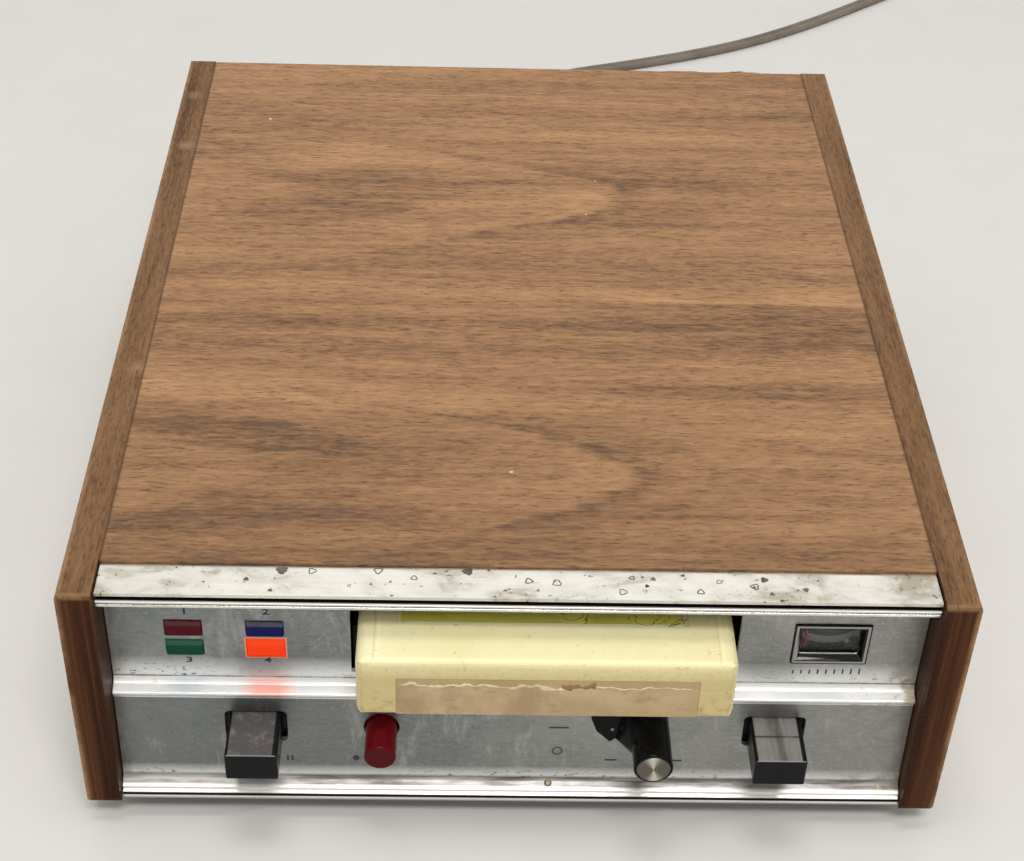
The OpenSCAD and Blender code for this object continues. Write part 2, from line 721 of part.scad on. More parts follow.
module cartridge_bottom_shell() color("beige") in_cart() {
    difference() {
        cart_half(false);
        front_label_recess();
    }
    translate([0, spindle_y + cart_out, shell_t - 0.1]) cylinder(r = 6, h = cart_t - 2 * shell_t - 1);
    translate([roller_x - cart_x, roller_y + cart_out, shell_t - 0.1]) {
        cylinder(r = 2, h = cart_t - 2 * shell_t - 1);
        cylinder(r = 3.5, h = (cart_t - roller_h) / 2 - shell_t - 0.1);
    }
}

module cartridge_top_label() color("yellowgreen") in_cart()
    translate([top_label_x - top_label_w / 2 + seat, label_y + seat, cart_t - label_in])
        cube([top_label_w - 2 * seat, cart_l - label_y - 20 - 2 * seat, 0.25]);

module cartridge_front_label() color("burlywood") in_cart()
    translate([front_label_x - front_label_w / 2 + seat, label_in - 0.25, 0.6])
        cube([front_label_w - 2 * seat, 0.25, front_label_h - 0.6 - seat]);

// Turntable, hub and wound tape
module cartridge_reel() color("saddlebrown") in_case()
    translate([cart_x, spindle_y, cart_z]) difference() {
        union() {
            translate([0, 0, shell_t + 0.4]) cylinder(r = tape_d / 2, h = 1.6);
            translate([0, 0, shell_t + 1.9]) cylinder(r = tape_d / 2 - 2, h = 6.4);
            translate([0, 0, shell_t + 8.2]) cylinder(r = 14, h = 1.6);
        }
        cylinder(r = 6 + fit, h = cart_t);
    }

module pinch_roller() color("black") in_case()
    translate([roller_x, roller_y, cart_z + (cart_t - roller_h) / 2]) difference() {
        cylinder(r = roller_d / 2, h = roller_h);
        translate([0, 0, -1]) cylinder(r = 2 + fit, h = roller_h + 2);
        translate([0, 0, roller_h - 0.8]) cylinder(r = 4.5, h = 2);
    }

// ---------------------------------------------------------------- deck and drive

tab_h = 14;
tab_l = 22;
tab_x = cart_w / 2 + 0.5 + deck_t / 2;   // guide tabs, just clear of the cartridge's sides
tab_y = [2, 40, cart_back - 42];
leg_y = guide_y + guide_d + 8;           // front end of the deck's two walls
leg_back = cam_y + 30;
deck_foot = 8;
bearing_r = 6;

// A folded bridge: table, two walls with feet, guide tabs beside the cartridge, riveted posts
module deck_plate() color("lightsteelblue") in_case() {
    legs = leg_back - leg_y;
    difference() {
        union() {
            translate([cart_x - deck_w / 2, deck_y, deck_z - deck_t]) cube([deck_w, deck_l, deck_t]);
            for (s = [-1, 1]) translate([cart_x, leg_y, floor_z]) {
                translate([s * (deck_w - deck_t) / 2 - deck_t / 2, 0, 0])
                    cube([deck_t, legs, deck_z - floor_z]);
                translate([s * (deck_w + deck_foot) / 2 - deck_foot / 2, 0, 0])
                    cube([deck_foot, legs, deck_t]);
            }
            for (s = [-1, 1], y = tab_y)
                translate([cart_x + s * tab_x - deck_t / 2, deck_y + y, deck_z - 0.1])
                    cube([deck_t, tab_l, tab_h]);
        }
        translate([roller_x, capstan_y, 0]) cylinder(r = bearing_r + fit, h = deck_z + 1);
        translate([motor_x, motor_y, 0]) cylinder(r = 8, h = deck_z + 1);
        translate([cam_x, cam_y, 0]) cylinder(r = 2 + fit, h = deck_z + 1);
    }
    for (s = [-1, 1]) translate([head_x + s * post_half, post_y, deck_z - deck_t])
        cylinder(r = post_r, h = deck_t + 21);
}

thrust_z = 8;

module capstan() color("white") in_case() translate([roller_x, capstan_y, thrust_z + deck_t + 0.2])
    cylinder(r = capstan_d / 2, h = cart_z + cart_t - 2 - thrust_z);

// A heavy disc with a grooved rim for the belt and a lightened underside
module flywheel() color("darkgray") in_case() translate([roller_x, capstan_y, wheel_z]) {
    rim = wheel_d / 2;
    half = belt_w / 2 + 0.5;
    rotate_extrude() polygon([
        [capstan_d / 2, 0], [8, 0], [10, 3], [rim - 7, 3], [rim - 5, 0], [rim, 0],
        [rim, wheel_t / 2 - half], [rim - groove, wheel_t / 2 - half],
        [rim - groove, wheel_t / 2 + half], [rim, wheel_t / 2 + half],
        [rim, wheel_t], [capstan_d / 2, wheel_t]
    ]);
}

// A flanged bush pressed up into the deck from below
module capstan_bearing() color("goldenrod") in_case()
    translate([roller_x, capstan_y, wheel_z + wheel_t + 0.4]) {
        top = deck_z - (wheel_z + wheel_t + 0.4);
        rotate_extrude() polygon([
            [capstan_d / 2 + fit, 0], [bearing_r, 0], [bearing_r, top - deck_t - 2],
            [bearing_r + 3, top - deck_t - 2], [bearing_r + 3, top - deck_t],
            [bearing_r, top - deck_t], [bearing_r, top], [capstan_d / 2 + fit, top]
        ]);
    }

// A strap under the flywheel with two legs up to the deck, set between the belt's two runs
module thrust_bracket() color("silver") in_case() translate([roller_x, capstan_y, 0])
    rotate([0, 0, belt_angle]) {
        reach = wheel_d / 2 + 3;
        strap_w = 14;
        difference() {
            translate([-reach, -strap_w / 2, thrust_z]) cube([2 * reach, strap_w, deck_t]);
            translate([0, 0, thrust_z - 1]) cylinder(r = 1, h = 4);
        }
        for (s = [-1, 1]) translate([s * reach - (s > 0 ? 0 : deck_t), -strap_w / 2, thrust_z])
            cube([deck_t, strap_w, deck_z - deck_t - thrust_z]);
    }

groove = 0.8;                            // depth of the belt's groove in the flywheel

// An arc of belt, with radius r, from angle a through the given sweep
module belt_arc(r, a, sweep) rotate([0, 0, a]) rotate_extrude(angle = sweep, $fn = 96)
    translate([r, 0]) square([belt_t, belt_w]);

// Two arcs and their two outer tangents
module drive_belt() color("black") in_case() translate([roller_x, capstan_y, belt_z])
    rotate([0, 0, belt_angle]) {
        big = wheel_d / 2 - groove + seat;
        small = pulley_d / 2 + seat;
        span = norm([motor_x - roller_x, motor_y - capstan_y]);
        lean = asin((big - small) / span);
        belt_arc(big, 90 - lean, 180 + 2 * lean);
        translate([span, 0, 0]) belt_arc(small, lean - 90, 180 - 2 * lean);
        for (s = [0, 1]) mirror([0, s, 0]) rotate([0, 0, -lean]) translate([0, big, 0])
            cube([span * cos(lean), belt_t, belt_w]);
    }

motor_shaft_r = 1.5;

module motor() color("darkgray") in_case() translate([motor_x, motor_y, deck_z]) difference() {
    rotate_extrude() polygon([
        [0, -3], [7, -3], [7, seat], [motor_d / 2 + motor_lip, seat], [motor_d / 2 + motor_lip, 2],
        [motor_d / 2, 2], [motor_d / 2, motor_h - 2], [motor_d / 2 - 2, motor_h], [0, motor_h]
    ]);
    translate([0, 0, -4]) cylinder(r = motor_shaft_r + fit, h = 12);
}

module motor_pulley() color("goldenrod") in_case() translate([motor_x, motor_y, belt_z - 1]) {
    rotate_extrude() polygon([
        [0, 0], [pulley_d / 2 + 1.2, 0], [pulley_d / 2 + 1.2, 0.6], [pulley_d / 2, 0.9],
        [pulley_d / 2, belt_w + 1.1], [pulley_d / 2 + 1.2, belt_w + 1.4],
        [pulley_d / 2 + 1.2, belt_w + 2], [0, belt_w + 2]
    ]);
    cylinder(r = motor_shaft_r, h = deck_z + 7 - belt_z);
}

// ---------------------------------------------------------------- head and program stepping

carriage_y = head_y + 12;
post_y = head_y + 16;
lift_gap = 0.3;
cam_top = deck_z + 5;

module tape_head() color("silver") in_case() translate([head_x, head_y, head_z])
    linear_extrude(12) polygon(rounded([
        [-5, 2.5, 0], [-3, 0, 1.5], [3, 0, 1.5], [5, 2.5, 0], [5, 10, 0.5], [-5, 10, 0.5]
    ]));

// A block on two posts, with the shelf of the head in front and the cam follower behind
module head_carriage() color("dimgray") in_case() translate([head_x, 0, deck_z]) difference() {
    union() {
        translate([-7, head_y + 1, 1.6]) cube([14, 12, head_z - deck_z - 1.6 - 0.05]);
        translate([-13, carriage_y, 1.6]) cube([26, 8, 15]);
        translate([-7, head_y + 10.05, 1.6]) cube([14, 3, 15]);
        translate([-3, carriage_y + 7, 11]) cube([6, cam_y - cam_r - carriage_y - 4, 4]);
        translate([0, cam_y - cam_r, cam_top - deck_z + lift_gap]) cylinder(r = 1, h = 8);
    }
    for (s = [-1, 1]) translate([s * post_half, post_y, 0]) cylinder(r = post_r + fit, h = 20);
}

// A ratchet wheel that carries the ramp which lifts the head through the four programs
module head_cam() color("ivory") in_case() translate([cam_x, cam_y, deck_z]) {
    teeth = 16;
    root = wheel_tip - 1.4;
    steps = 14;
    start = -100;
    span = cam_turn + 20;
    climb = head_lift / cam_turn;
    inner = cam_r - 1.6;
    outer = cam_r + 1.6;
    translate([0, 0, -3]) cylinder(r = 2, h = 4);
    translate([0, 0, 0.4]) linear_extrude(2.2) polygon([
        for (k = [0:teeth - 1]) each
            [root * [cos(360 * k / teeth), sin(360 * k / teeth)],
             wheel_tip * [cos(360 * (k + 0.8) / teeth), sin(360 * (k + 0.8) / teeth)]]
    ]);
    translate([0, 0, 2.5]) cylinder(r = 4, h = 4);
    // the ramp lies ahead of the follower, which climbs it as the wheel turns clockwise
    ramp = [for (i = [0:steps]) let (a = start + span * i / steps, way = [cos(a), sin(a), 0],
            top = [0, 0, cam_top - deck_z + climb * (a + 90)], foot = [0, 0, 2.5])
        each [inner * way + foot, outer * way + foot, outer * way + top, inner * way + top]];
    polyhedron(points = ramp, faces = tube_faces(steps + 1, 4));
}

plunger_r = 3;
plunger_z = 9;

coil_r = 7.4;
yoke = [22.4, 18, 17];                   // the solenoid's folded frame
yoke_t = 1.4;

// A wound coil in a folded yoke
module solenoid() color("goldenrod") in_case() translate([solenoid_x, cam_y, deck_z + 0.1])
    difference() {
        union() {
            translate([-yoke[0] / 2, -yoke[1] / 2, 0]) cube([yoke[0], yoke[1], yoke_t]);
            for (x = [-yoke[0] / 2, yoke[0] / 2 - yoke_t]) translate([x, -yoke[1] / 2, 0])
                cube([yoke_t, yoke[1], yoke[2]]);
            translate([-yoke[0] / 2 + 1, 0, plunger_z]) rotate([0, 90, 0])
                cylinder(r = coil_r, h = yoke[0] - 2);
        }
        translate([-yoke[0] / 2 + 4, 0, plunger_z]) rotate([0, 90, 0])
            cylinder(r = plunger_r + fit, h = yoke[0]);
    }

// The plunger draws a pawl away from the ratchet wheel's rim
module solenoid_plunger() color("silver") in_case() translate([solenoid_x, cam_y, deck_z + 0.1]) {
    arm_x = yoke[0] / 2 + plunger_travel + 0.3;
    pawl_l = cam_x - wheel_tip - 0.3 - solenoid_x - arm_x;
    translate([-3, 0, plunger_z]) rotate([0, 90, 0]) cylinder(r = plunger_r, h = arm_x + 4.2);
    translate([arm_x, -1, 0.6]) cube([1.2, 2, plunger_z]);
    translate([arm_x, -1, 0.6]) cube([pawl_l, 2, 1.8]);
}

module splice_sensor() color("tan") in_case() translate([sensor_x, head_y, deck_z]) {
    translate([-5, 5, 0]) cube([10, 8, 14]);
    for (s = [-1, 1]) translate([s * 2.5 - 1, 0, 9]) cube([2, 6, 1]);
}

// ---------------------------------------------------------------- mains and electronics

transformer_at = [case_w / 2 - transformer_in, rear_y - 32];
stack_w = 40;
stack_d = 26;
stack_h = 34;

// Laminated core between two feet, with the coil bulging out at front and back
module transformer() color("slategray") in_case()
    translate([transformer_at[0], transformer_at[1], floor_z]) {
    translate([-stack_w / 2, -stack_d / 2, 4]) cube([stack_w, stack_d, stack_h]);
    for (s = [-1, 1]) translate([s * (stack_w / 2 - 4) - 4, -stack_d / 2 - 3, 0]) difference() {
        cube([8, stack_d + 6, 4.1]);
        translate([4, 2, -1]) cylinder(r = 1.2, h = 6);
    }
    translate([0, -stack_d / 2 - 8, 4 + stack_h / 2]) along_y(stack_d + 16)
        pad(stack_w - 16, stack_h - 10, 4);
}

board_x = cleat + 3.1 - inner_w / 2;     // left edge of the board, clear of the cleat
board = [motor_x + 8 - board_x, board_d, 1.6];
board_at = [board_x, rear_y - board_d - 12];
board_z = floor_z + 7;

module on_board() in_case() translate([board_at[0], board_at[1], board_z]) children();

module circuit_board() color("darkgoldenrod") {
    on_board() difference() {
        cube(board);
        for (x = [5, board[0] - 5], y = [5, board[1] - 5])
            translate([x, y, -1]) cylinder(r = 1.6, h = 4);
    }
    // the spacers that it stands on
    on_board() for (x = [5, board[0] - 5], y = [5, board[1] - 5])
        translate([x, y, floor_z - board_z]) difference() {
            cylinder(r = 3, h = board_z - floor_z);
            translate([0, 0, -1]) cylinder(r = 1.6, h = 10);
        }
}

// Capacitors, transistors and a row of coils, each with its foot on the board
module board_parts() color("royalblue") on_board() translate([0, 0, board[2]]) {
    coil_x = board[0] - 27;              // clear of the pulley that hangs over the board
    lane = coil_x - 20;
    for (i = [0:2]) translate([12 + lane * (0.4 + 0.3 * i), board_d - 16, 0]) cylinder(r = 6, h = 22);
    for (i = [0:4]) translate([12 + lane * i / 4, board_d - 34, 0]) cylinder(r = 3, h = 11);
    for (i = [0:5]) translate([12 + lane * i / 5, board_d - 47, 0]) cylinder(r = 2.4, h = 5);
    for (i = [0:2]) translate([coil_x, board_d - 52 + 18 * i, 0]) cube([10, 10, 12]);
    for (i = [0:6]) translate([14 + lane * i / 6, 12, 0.1]) rotate([-90, 0, 0])
        translate([0, -1.2, 0]) cylinder(r = 1.2, h = 7);
}

// ---------------------------------------------------------------- back and underside

socket_x = [-2, 14, 38, 54];
socket_z = 34;
socket_r = 4.2;
strip_wall = 1.6;                        // insulating strip behind the sockets
fuse_at = [cleat + 15.1 - inner_w / 2, 26];
fuse_r = 6.5;
vent_h = 14;

module rear_panel() color("dimgray") in_case() difference() {
    translate([-panel_w / 2, rear_y, floor_z]) cube([panel_w, sheet_t, top_z - floor_z - 0.3]);
    for (x = socket_x) translate([x, rear_y - 1, socket_z]) rod_y(socket_r + 0.6, sheet_t + 2);
    translate([fuse_at[0], rear_y - 1, fuse_at[1]]) rod_y(fuse_r + 0.1, sheet_t + 2);
    translate([-exit_x, rear_y - 1, exit_z]) rod_y(relief_r + 0.1, sheet_t + 2);
    for (i = [0:9]) translate([vent_x + 7 * i, rear_y - 1, top_z - vent_h - 6])
        cube([3, sheet_t + 2, vent_h]);
    for (s = [-1, 1], z = rear_screw_z) translate([s * cleat_x, rear_y - 1, z])
        rod_y(screw_r + 0.2, sheet_t + 2);
}

vent_x = transformer_at[0] - 42;
cleat_x = inner_w / 2 - cleat / 2;       // middle of the cleats and of the screws in them
rear_screw_z = [20, top_z - 20];

// Four sockets on the face of one insulating strip, with their solder tags behind it
module phono_sockets() color("tan") in_case() translate([0, rear_y - seat, socket_z]) {
    translate([socket_x[0] - 9, -strip_wall, -8])
        cube([socket_x[3] - socket_x[0] + 18, strip_wall, 16]);
    for (x = socket_x) translate([x, 0, 0]) {
        translate([0, -strip_wall - 4, 0]) rod_y(2.4, 4.1);
        translate([0, 0.05, 0]) difference() {
            rod_y(socket_r, 7.95);
            translate([0, 1.35, 0]) rod_y(1.6, 8);
        }
    }
}

module fuse_holder() color("black") in_case() translate([fuse_at[0], rear_y, fuse_at[1]]) {
    translate([0, -26, 0]) rod_y(fuse_r - 0.5, 26.1);
    rod_y(fuse_r, sheet_t + 0.4);
    translate([0, sheet_t + 0.3, 0]) difference() {
        rod_y(fuse_r + 2, 4);
        translate([-fuse_r - 3, 3, -0.7]) cube([2 * fuse_r + 6, 2, 1.4]);
    }
}

function vents() = [for (i = [0:8], j = [0:1]) [16 * (i - 4), rear_y - 78 + 34 * j]];

// A slot with round ends, long in Y
module vent(w, l) {
    square([w, l - w], center = true);
    for (s = [-1, 1]) translate([0, s * (l - w) / 2]) circle(r = w / 2);
}

module base_plate() color("gray") in_case() difference() {
    translate([-panel_w / 2, panel_y + 4.4, base_z]) cube([panel_w, rear_y - panel_y - 4.4, sheet_t]);
    for (v = vents()) translate([v[0], v[1], base_z - 1]) linear_extrude(sheet_t + 2) vent(3, 22);
    for (s = [-1, 1], y = cleat_screw_y) translate([s * cleat_x, y, base_z - 1])
        cylinder(r = screw_r + 0.2, h = sheet_t + 2);
    for (s = [-1, 1], y = foot_y) translate([s * foot_x, y, base_z - 1])
        cylinder(r = screw_r + 0.2, h = sheet_t + 2);
}

// Softwood strips glued into the case: two along the sides and two up the back corners
module wood_cleats() color("wheat") in_case() for (s = [-1, 1]) {
    x = s * cleat_x;
    translate([x - cleat / 2, cleat_y, floor_z]) difference() {
        cube([cleat, rear_y - cleat_y - cleat - 0.2, cleat]);
        for (y = cleat_screw_y) translate([cleat / 2, y - cleat_y, -1])
            cylinder(r = screw_r + fit, h = 9);
    }
    translate([x - cleat / 2, rear_y - cleat, floor_z]) difference() {
        cube([cleat, cleat, top_z - floor_z]);
        for (z = rear_screw_z) translate([cleat / 2, 1, z - floor_z]) rod_y(screw_r + fit, cleat);
    }
}

// A pan-head screw along Z with its head below
module screw(l) {
    rotate_extrude() polygon([
        [0.6, 0], [2.6, 0], [3, 0.6], [3, head_t], [screw_r, head_t], [screw_r, l], [0, l + 1],
        [0, 0.8], [0.6, 0.8]
    ]);
}

head_t = 1.6;
screw_l = 9;

module case_screws() color("silver") in_case() {
    for (s = [-1, 1], y = cleat_screw_y) translate([s * cleat_x, y, base_z - head_t]) screw(screw_l);
    for (s = [-1, 1], z = rear_screw_z)
        translate([s * cleat_x, rear_y + sheet_t + head_t, z]) rotate([90, 0, 0]) screw(screw_l);
    for (s = [-1, 1], y = foot_y)
        translate([s * foot_x, y, base_z - foot_seat - head_t]) screw(screw_l);
}

foot_seat = 3;                           // rubber between a foot's screw head and the base plate

module rubber_feet() color("black") in_case() for (s = [-1, 1], y = foot_y)
    translate([s * foot_x, y, -case_lift]) rotate_extrude() polygon([
        [foot_d / 2 - 2.6, 0], [foot_d / 2 - 1.2, 0], [foot_d / 2 - 0.6, 0.8],
        [foot_d / 2, case_lift + base_z], [screw_r + 0.1, case_lift + base_z],
        [screw_r + 0.1, case_lift + base_z - foot_seat], [4, case_lift + base_z - foot_seat],
        [4.4, 0.8], [foot_d / 2 - 3.2, 0.8]
    ]);

// ---------------------------------------------------------------- cord

relief_r = 5.2;
cord_z = cord_t / 2;
floor_h = cord_z + 0.02;

// A flat bush that grips the rear panel and tapers down to the cord
module strain_relief() color("dimgray") in_case() translate([-exit_x, rear_y, exit_z]) {
    translate([0, -6, 0]) rod_y(relief_r, sheet_t + 6.3);
    translate([0, -7.5, 0]) rod_y(relief_r + 1.4, 1.6);
    translate([0, sheet_t + 0.2, 0]) rod_y(relief_r + 1.6, 2.4);
    hull() {
        translate([0, sheet_t + 2, 0]) rod_y(relief_r - 0.4, 1, $fn = 32);
        translate([0, sheet_t + relief_l - 1, 0]) along_y(1) pad(cord_w + 1.4, cord_t + 1.4, 1.4);
    }
}

// Points of the cord's free run, square to the bush at one end and to the coil at the other
function route() =
    let (y0 = front_y + rear_y + sheet_t + relief_l, z0 = case_lift + exit_z)
    concat([[-exit_x, y0, z0], [-exit_x, y0 + cord_w, z0], [-exit_x, y0 + 14, z0 - 1]], [
        [-40, 207, 17], [-39, 222, 8], [-37, 238, 2.6], [-33, 254, floor_h], [-25, 271, floor_h],
        [-11, 287, floor_h], [8, 301, floor_h], [34, 313, floor_h], [65, 324, floor_h],
        [98, 337, floor_h], [129, 353, floor_h], [161, 375, floor_h], [195, 402, floor_h],
        [214, 417, floor_h]
    ], [coil_point(0) - cord_w * coil_way()]);

function smooth(p, i, t) =
    let (n = len(p), a = p[max(i - 1, 0)], b = p[i], c = p[i + 1], d = p[min(i + 2, n - 1)])
    0.5 * (2 * b + (c - a) * t + (2 * a - 5 * b + 4 * c - d) * t * t
           + (3 * b - a - 3 * c + d) * t * t * t);

// The moulded twin section, with a groove between its two cores
function twin() = let (w = cord_w / 2, h = cord_t / 2) [
    [w, 0], [0.86 * w, 0.68 * h], [0.5 * w, h], [0, 0.7 * h], [-0.5 * w, h], [-0.86 * w, 0.68 * h],
    [-w, 0], [-0.86 * w, -0.68 * h], [-0.5 * w, -h], [0, -0.7 * h], [0.5 * w, -h],
    [0.86 * w, -0.68 * h]
];
function plain_twin() = let (w = cord_w / 2, h = cord_t / 2)
    [[w, 0], [0.5 * w, h], [-0.5 * w, h], [-w, 0], [-0.5 * w, -h], [0.5 * w, -h]];

module mains_cord() color("gray") {
    p = route();
    n = len(p);
    bends = [for (i = [1:n - 2], k = [0:1]) smooth(p, i, k / 2)];
    sweep(concat([p[0]], bends, [p[n - 1], coil_point(0)]), twin());
}

// The length that is put away: two flat layers of turns, in along the floor and out on top
coil_at = [201, 462];
coil_in = 25.5;                          // inside radius of the turns
coil_turns = 2.75;                       // turns in each layer
coil_start = -51;
coil_rings = 24;
coil_pitch = cord_w + 0.7;
layer_h = cord_t + 0.6;
coil_run = 26;                           // straight run from the last turn to the plug

function coil_point(t) =
    let (from_mid = t - coil_turns, r = coil_in + coil_pitch * abs(from_mid), a = coil_start + 360 * t,
         up = min(max(from_mid / 0.5 + 0.5, 0), 1))
    [coil_at[0] + r * cos(a), coil_at[1] + r * sin(a), floor_h + layer_h * up];
function coil_path() = [for (i = [0:2 * coil_turns * coil_rings]) coil_point(i / coil_rings)];
function coil_way() = unit(coil_point(1 / coil_rings) - coil_point(0));
function coil_end_way() = let (p = coil_path(), d = p[len(p) - 1] - p[len(p) - 2]) unit([d[0], d[1], 0]);
function coil_end() = coil_path()[len(coil_path()) - 1];
function coil_tail(t) = coil_end() + coil_end_way() * coil_run * t
    - [0, 0, (layer_h - plug_t / 2 + floor_h) * t * t * (3 - 2 * t)];
function plug_at() = coil_tail(1) + coil_end_way() * cord_w;

module cord_coil() color("gray") {
    path = concat(coil_path(), [for (t = [0.25, 0.5, 0.75, 1]) coil_tail(t)], [plug_at()]);
    n = len(coil_path());
    section = plain_twin();
    rings = [for (i = [0:n - 1]) ring(path, i, section, function(p, t) level_side(t))];
    half = coil_rings / 2;
    gap = min([for (i = [0:n - 1 - half], j = [i + half:min(i + 3 * half, n - 1)])
        for (a = rings[i], b = rings[j]) norm(a - b)]);
    echo(least_gap_between_turns = gap);
    sweep(path, section);
}

plug_l = 26;
plug_t = 9;

// A moulded two-blade plug that lies beside the coil
module mains_plug() color("dimgray") {
    way = coil_end_way();
    translate(plug_at()) rotate([0, 0, atan2(way[1], way[0])]) {
        hull() {
            rotate([0, 90, 0]) linear_extrude(0.5) pad(cord_t + 2, cord_w + 2, 1.5);
            translate([12, 0, 0]) rotate([0, 90, 0]) linear_extrude(plug_l - 12) pad(plug_t, 17, 3);
        }
        for (s = [-1, 1]) translate([plug_l - 1, s * 6.35 - 0.75, -3.1]) cube([17, 1.5, 6.2]);
    }
}

left_side_panel();
right_side_panel();
top_panel();
top_trim_strip();
front_panel();
program_window_1();
program_window_2();
program_window_3();
program_window_4();
lamp_housing();
program_lamps();
meter_case();
meter_bezel();
meter_scale();
meter_window();
meter_needle();
program_button();
record_button();
eject_button();
left_button_bracket();
right_button_bracket();
button_springs();
function_knob();
function_knob_cap();
function_shaft();
function_switch();
cartridge_top_shell();
cartridge_bottom_shell();
cartridge_top_label();
cartridge_front_label();
cartridge_reel();
pinch_roller();
deck_plate();
capstan();
flywheel();
capstan_bearing();
thrust_bracket();
drive_belt();
motor();
motor_pulley();
tape_head();
head_carriage();
head_cam();
solenoid();
solenoid_plunger();
splice_sensor();
transformer();
circuit_board();
board_parts();
rear_panel();
phono_sockets();
fuse_holder();
base_plate();
wood_cleats();
case_screws();
rubber_feet();
strain_relief();
mains_cord();
cord_coil();
mains_plug();
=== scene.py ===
import bpy, bmesh, math
from math import cos, sin, pi, radians
from mathutils import Matrix, Vector


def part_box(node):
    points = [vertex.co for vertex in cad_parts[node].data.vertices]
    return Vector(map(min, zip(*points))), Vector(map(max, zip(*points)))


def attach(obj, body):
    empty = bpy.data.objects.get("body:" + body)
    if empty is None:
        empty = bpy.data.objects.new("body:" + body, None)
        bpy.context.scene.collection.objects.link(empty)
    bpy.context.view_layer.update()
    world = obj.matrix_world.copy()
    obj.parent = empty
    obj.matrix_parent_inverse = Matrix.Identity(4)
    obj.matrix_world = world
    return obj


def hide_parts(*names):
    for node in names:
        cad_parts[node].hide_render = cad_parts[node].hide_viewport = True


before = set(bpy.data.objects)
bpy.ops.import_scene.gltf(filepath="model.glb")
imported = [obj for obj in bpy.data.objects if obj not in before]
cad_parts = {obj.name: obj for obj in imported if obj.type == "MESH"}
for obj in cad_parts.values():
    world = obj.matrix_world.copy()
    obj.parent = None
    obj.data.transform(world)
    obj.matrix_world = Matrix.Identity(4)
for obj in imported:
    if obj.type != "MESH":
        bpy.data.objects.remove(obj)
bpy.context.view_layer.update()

scene = bpy.context.scene
scene.view_settings.view_transform = "Standard"

# ---- camera
# It stands in front of the player, a little left of its middle, and looks down on its top.
camera_data = bpy.data.cameras.new("camera")
camera_data.sensor_fit = "HORIZONTAL"
camera_data.sensor_width = 36
camera_data.lens = 66.14
camera = bpy.data.objects.new("camera", camera_data)
camera.location = (-0.01651, -0.49156, 0.42863)
camera.rotation_euler = (radians(51.2606), radians(-1.6706), radians(-0.6703))
scene.collection.objects.link(camera)
scene.camera = camera

# ---- mains cord
# A grey flat twin cord that leaves the back through a bush, drops to the table, runs out of sight
# to the right and is wound there in two flat layers, with its plug laid beside the turns.
mm = 0.001
cord_w = 6 * mm
cord_t = 3.2 * mm
floor_h = 1.62 * mm
cord_route = [Vector(p) * mm for p in (
    (-40, 175, 28), (-40, 181, 28), (-40, 189, 27), (-40, 207, 17), (-39, 222, 8), (-37, 238, 2.6),
    (-33, 254, 1.62), (-25, 271, 1.62), (-11, 287, 1.62), (8, 301, 1.62), (34, 313, 1.62),
    (65, 324, 1.62), (98, 337, 1.62), (129, 353, 1.62), (161, 375, 1.62), (195, 402, 1.62),
    (214, 417, 1.62))]
coil_turns = 2.75
coil_rings = 24


def coil_point(t):
    r = (25.5 + 6.7 * abs(t - coil_turns)) * mm
    a = radians(-51 + 360 * t)
    up = min(max((t - coil_turns) / 0.5 + 0.5, 0), 1)
    return Vector((0.201 + r * cos(a), 0.462 + r * sin(a), floor_h + 3.8 * mm * up))


def smooth(p, i, t):
    a, b, c, d = p[max(i - 1, 0)], p[i], p[i + 1], p[min(i + 2, len(p) - 1)]
    return 0.5 * (2 * b + (c - a) * t + (2 * a - 5 * b + 4 * c - d) * t ** 2
                  + (3 * b - a - 3 * c + d) * t ** 3)


way_in = (coil_point(1 / coil_rings) - coil_point(0)).normalized()
run = cord_route + [coil_point(0) - cord_w * way_in]
run = [run[0]] + [smooth(run, i, k / 3) for i in range(1, len(run) - 1) for k in range(3)] + [run[-1]]
turns = [coil_point(i / 36) for i in range(int(2 * coil_turns * 36) + 1)]
way_out = turns[-1] - turns[-2]
way_out.z = 0
way_out.normalize()
plug_t = 9 * mm
tail = [turns[-1] + way_out * 0.026 * t
        - Vector((0, 0, (5.42 * mm - plug_t / 2) * t * t * (3 - 2 * t))) for t in (0.25, 0.5, 0.75, 1)]
plug_at = tail[-1] + way_out * cord_w
cord_path = run + turns + tail + [plug_at]


def link(obj):
    scene.collection.objects.link(obj)
    return obj


def curve_mesh(name, points, section):
    """A mesh drawn out along the points with a closed flat section that stays level."""
    outline = bpy.data.curves.new(name + "_section", "CURVE")
    outline.dimensions = "2D"
    side = outline.splines.new("POLY")
    side.points.add(len(section) - 1)
    for point, (x, y) in zip(side.points, section):
        point.co = (x, y, 0, 1)
    side.use_cyclic_u = True
    outline_obj = link(bpy.data.objects.new(name + "_section", outline))
    data = bpy.data.curves.new(name, "CURVE")
    data.dimensions = "3D"
    data.twist_mode = "Z_UP"
    data.bevel_mode = "OBJECT"
    data.bevel_object = outline_obj
    data.use_fill_caps = True
    line = data.splines.new("POLY")
    line.points.add(len(points) - 1)
    for point, p in zip(line.points, points):
        point.co = (*p, 1)
    line.use_smooth = True
    obj = link(bpy.data.objects.new(name, data))
    made = bpy.data.meshes.new_from_object(obj.evaluated_get(bpy.context.evaluated_depsgraph_get()))
    bpy.data.objects.remove(obj)
    bpy.data.objects.remove(outline_obj)
    piece = link(bpy.data.objects.new(name, made))
    shell = bmesh.new()
    shell.from_mesh(made)
    bmesh.ops.remove_doubles(shell, verts=shell.verts, dist=1e-6)
    bmesh.ops.recalc_face_normals(shell, faces=shell.faces)
    shell.to_mesh(made)
    shell.free()
    made.shade_smooth()
    return piece


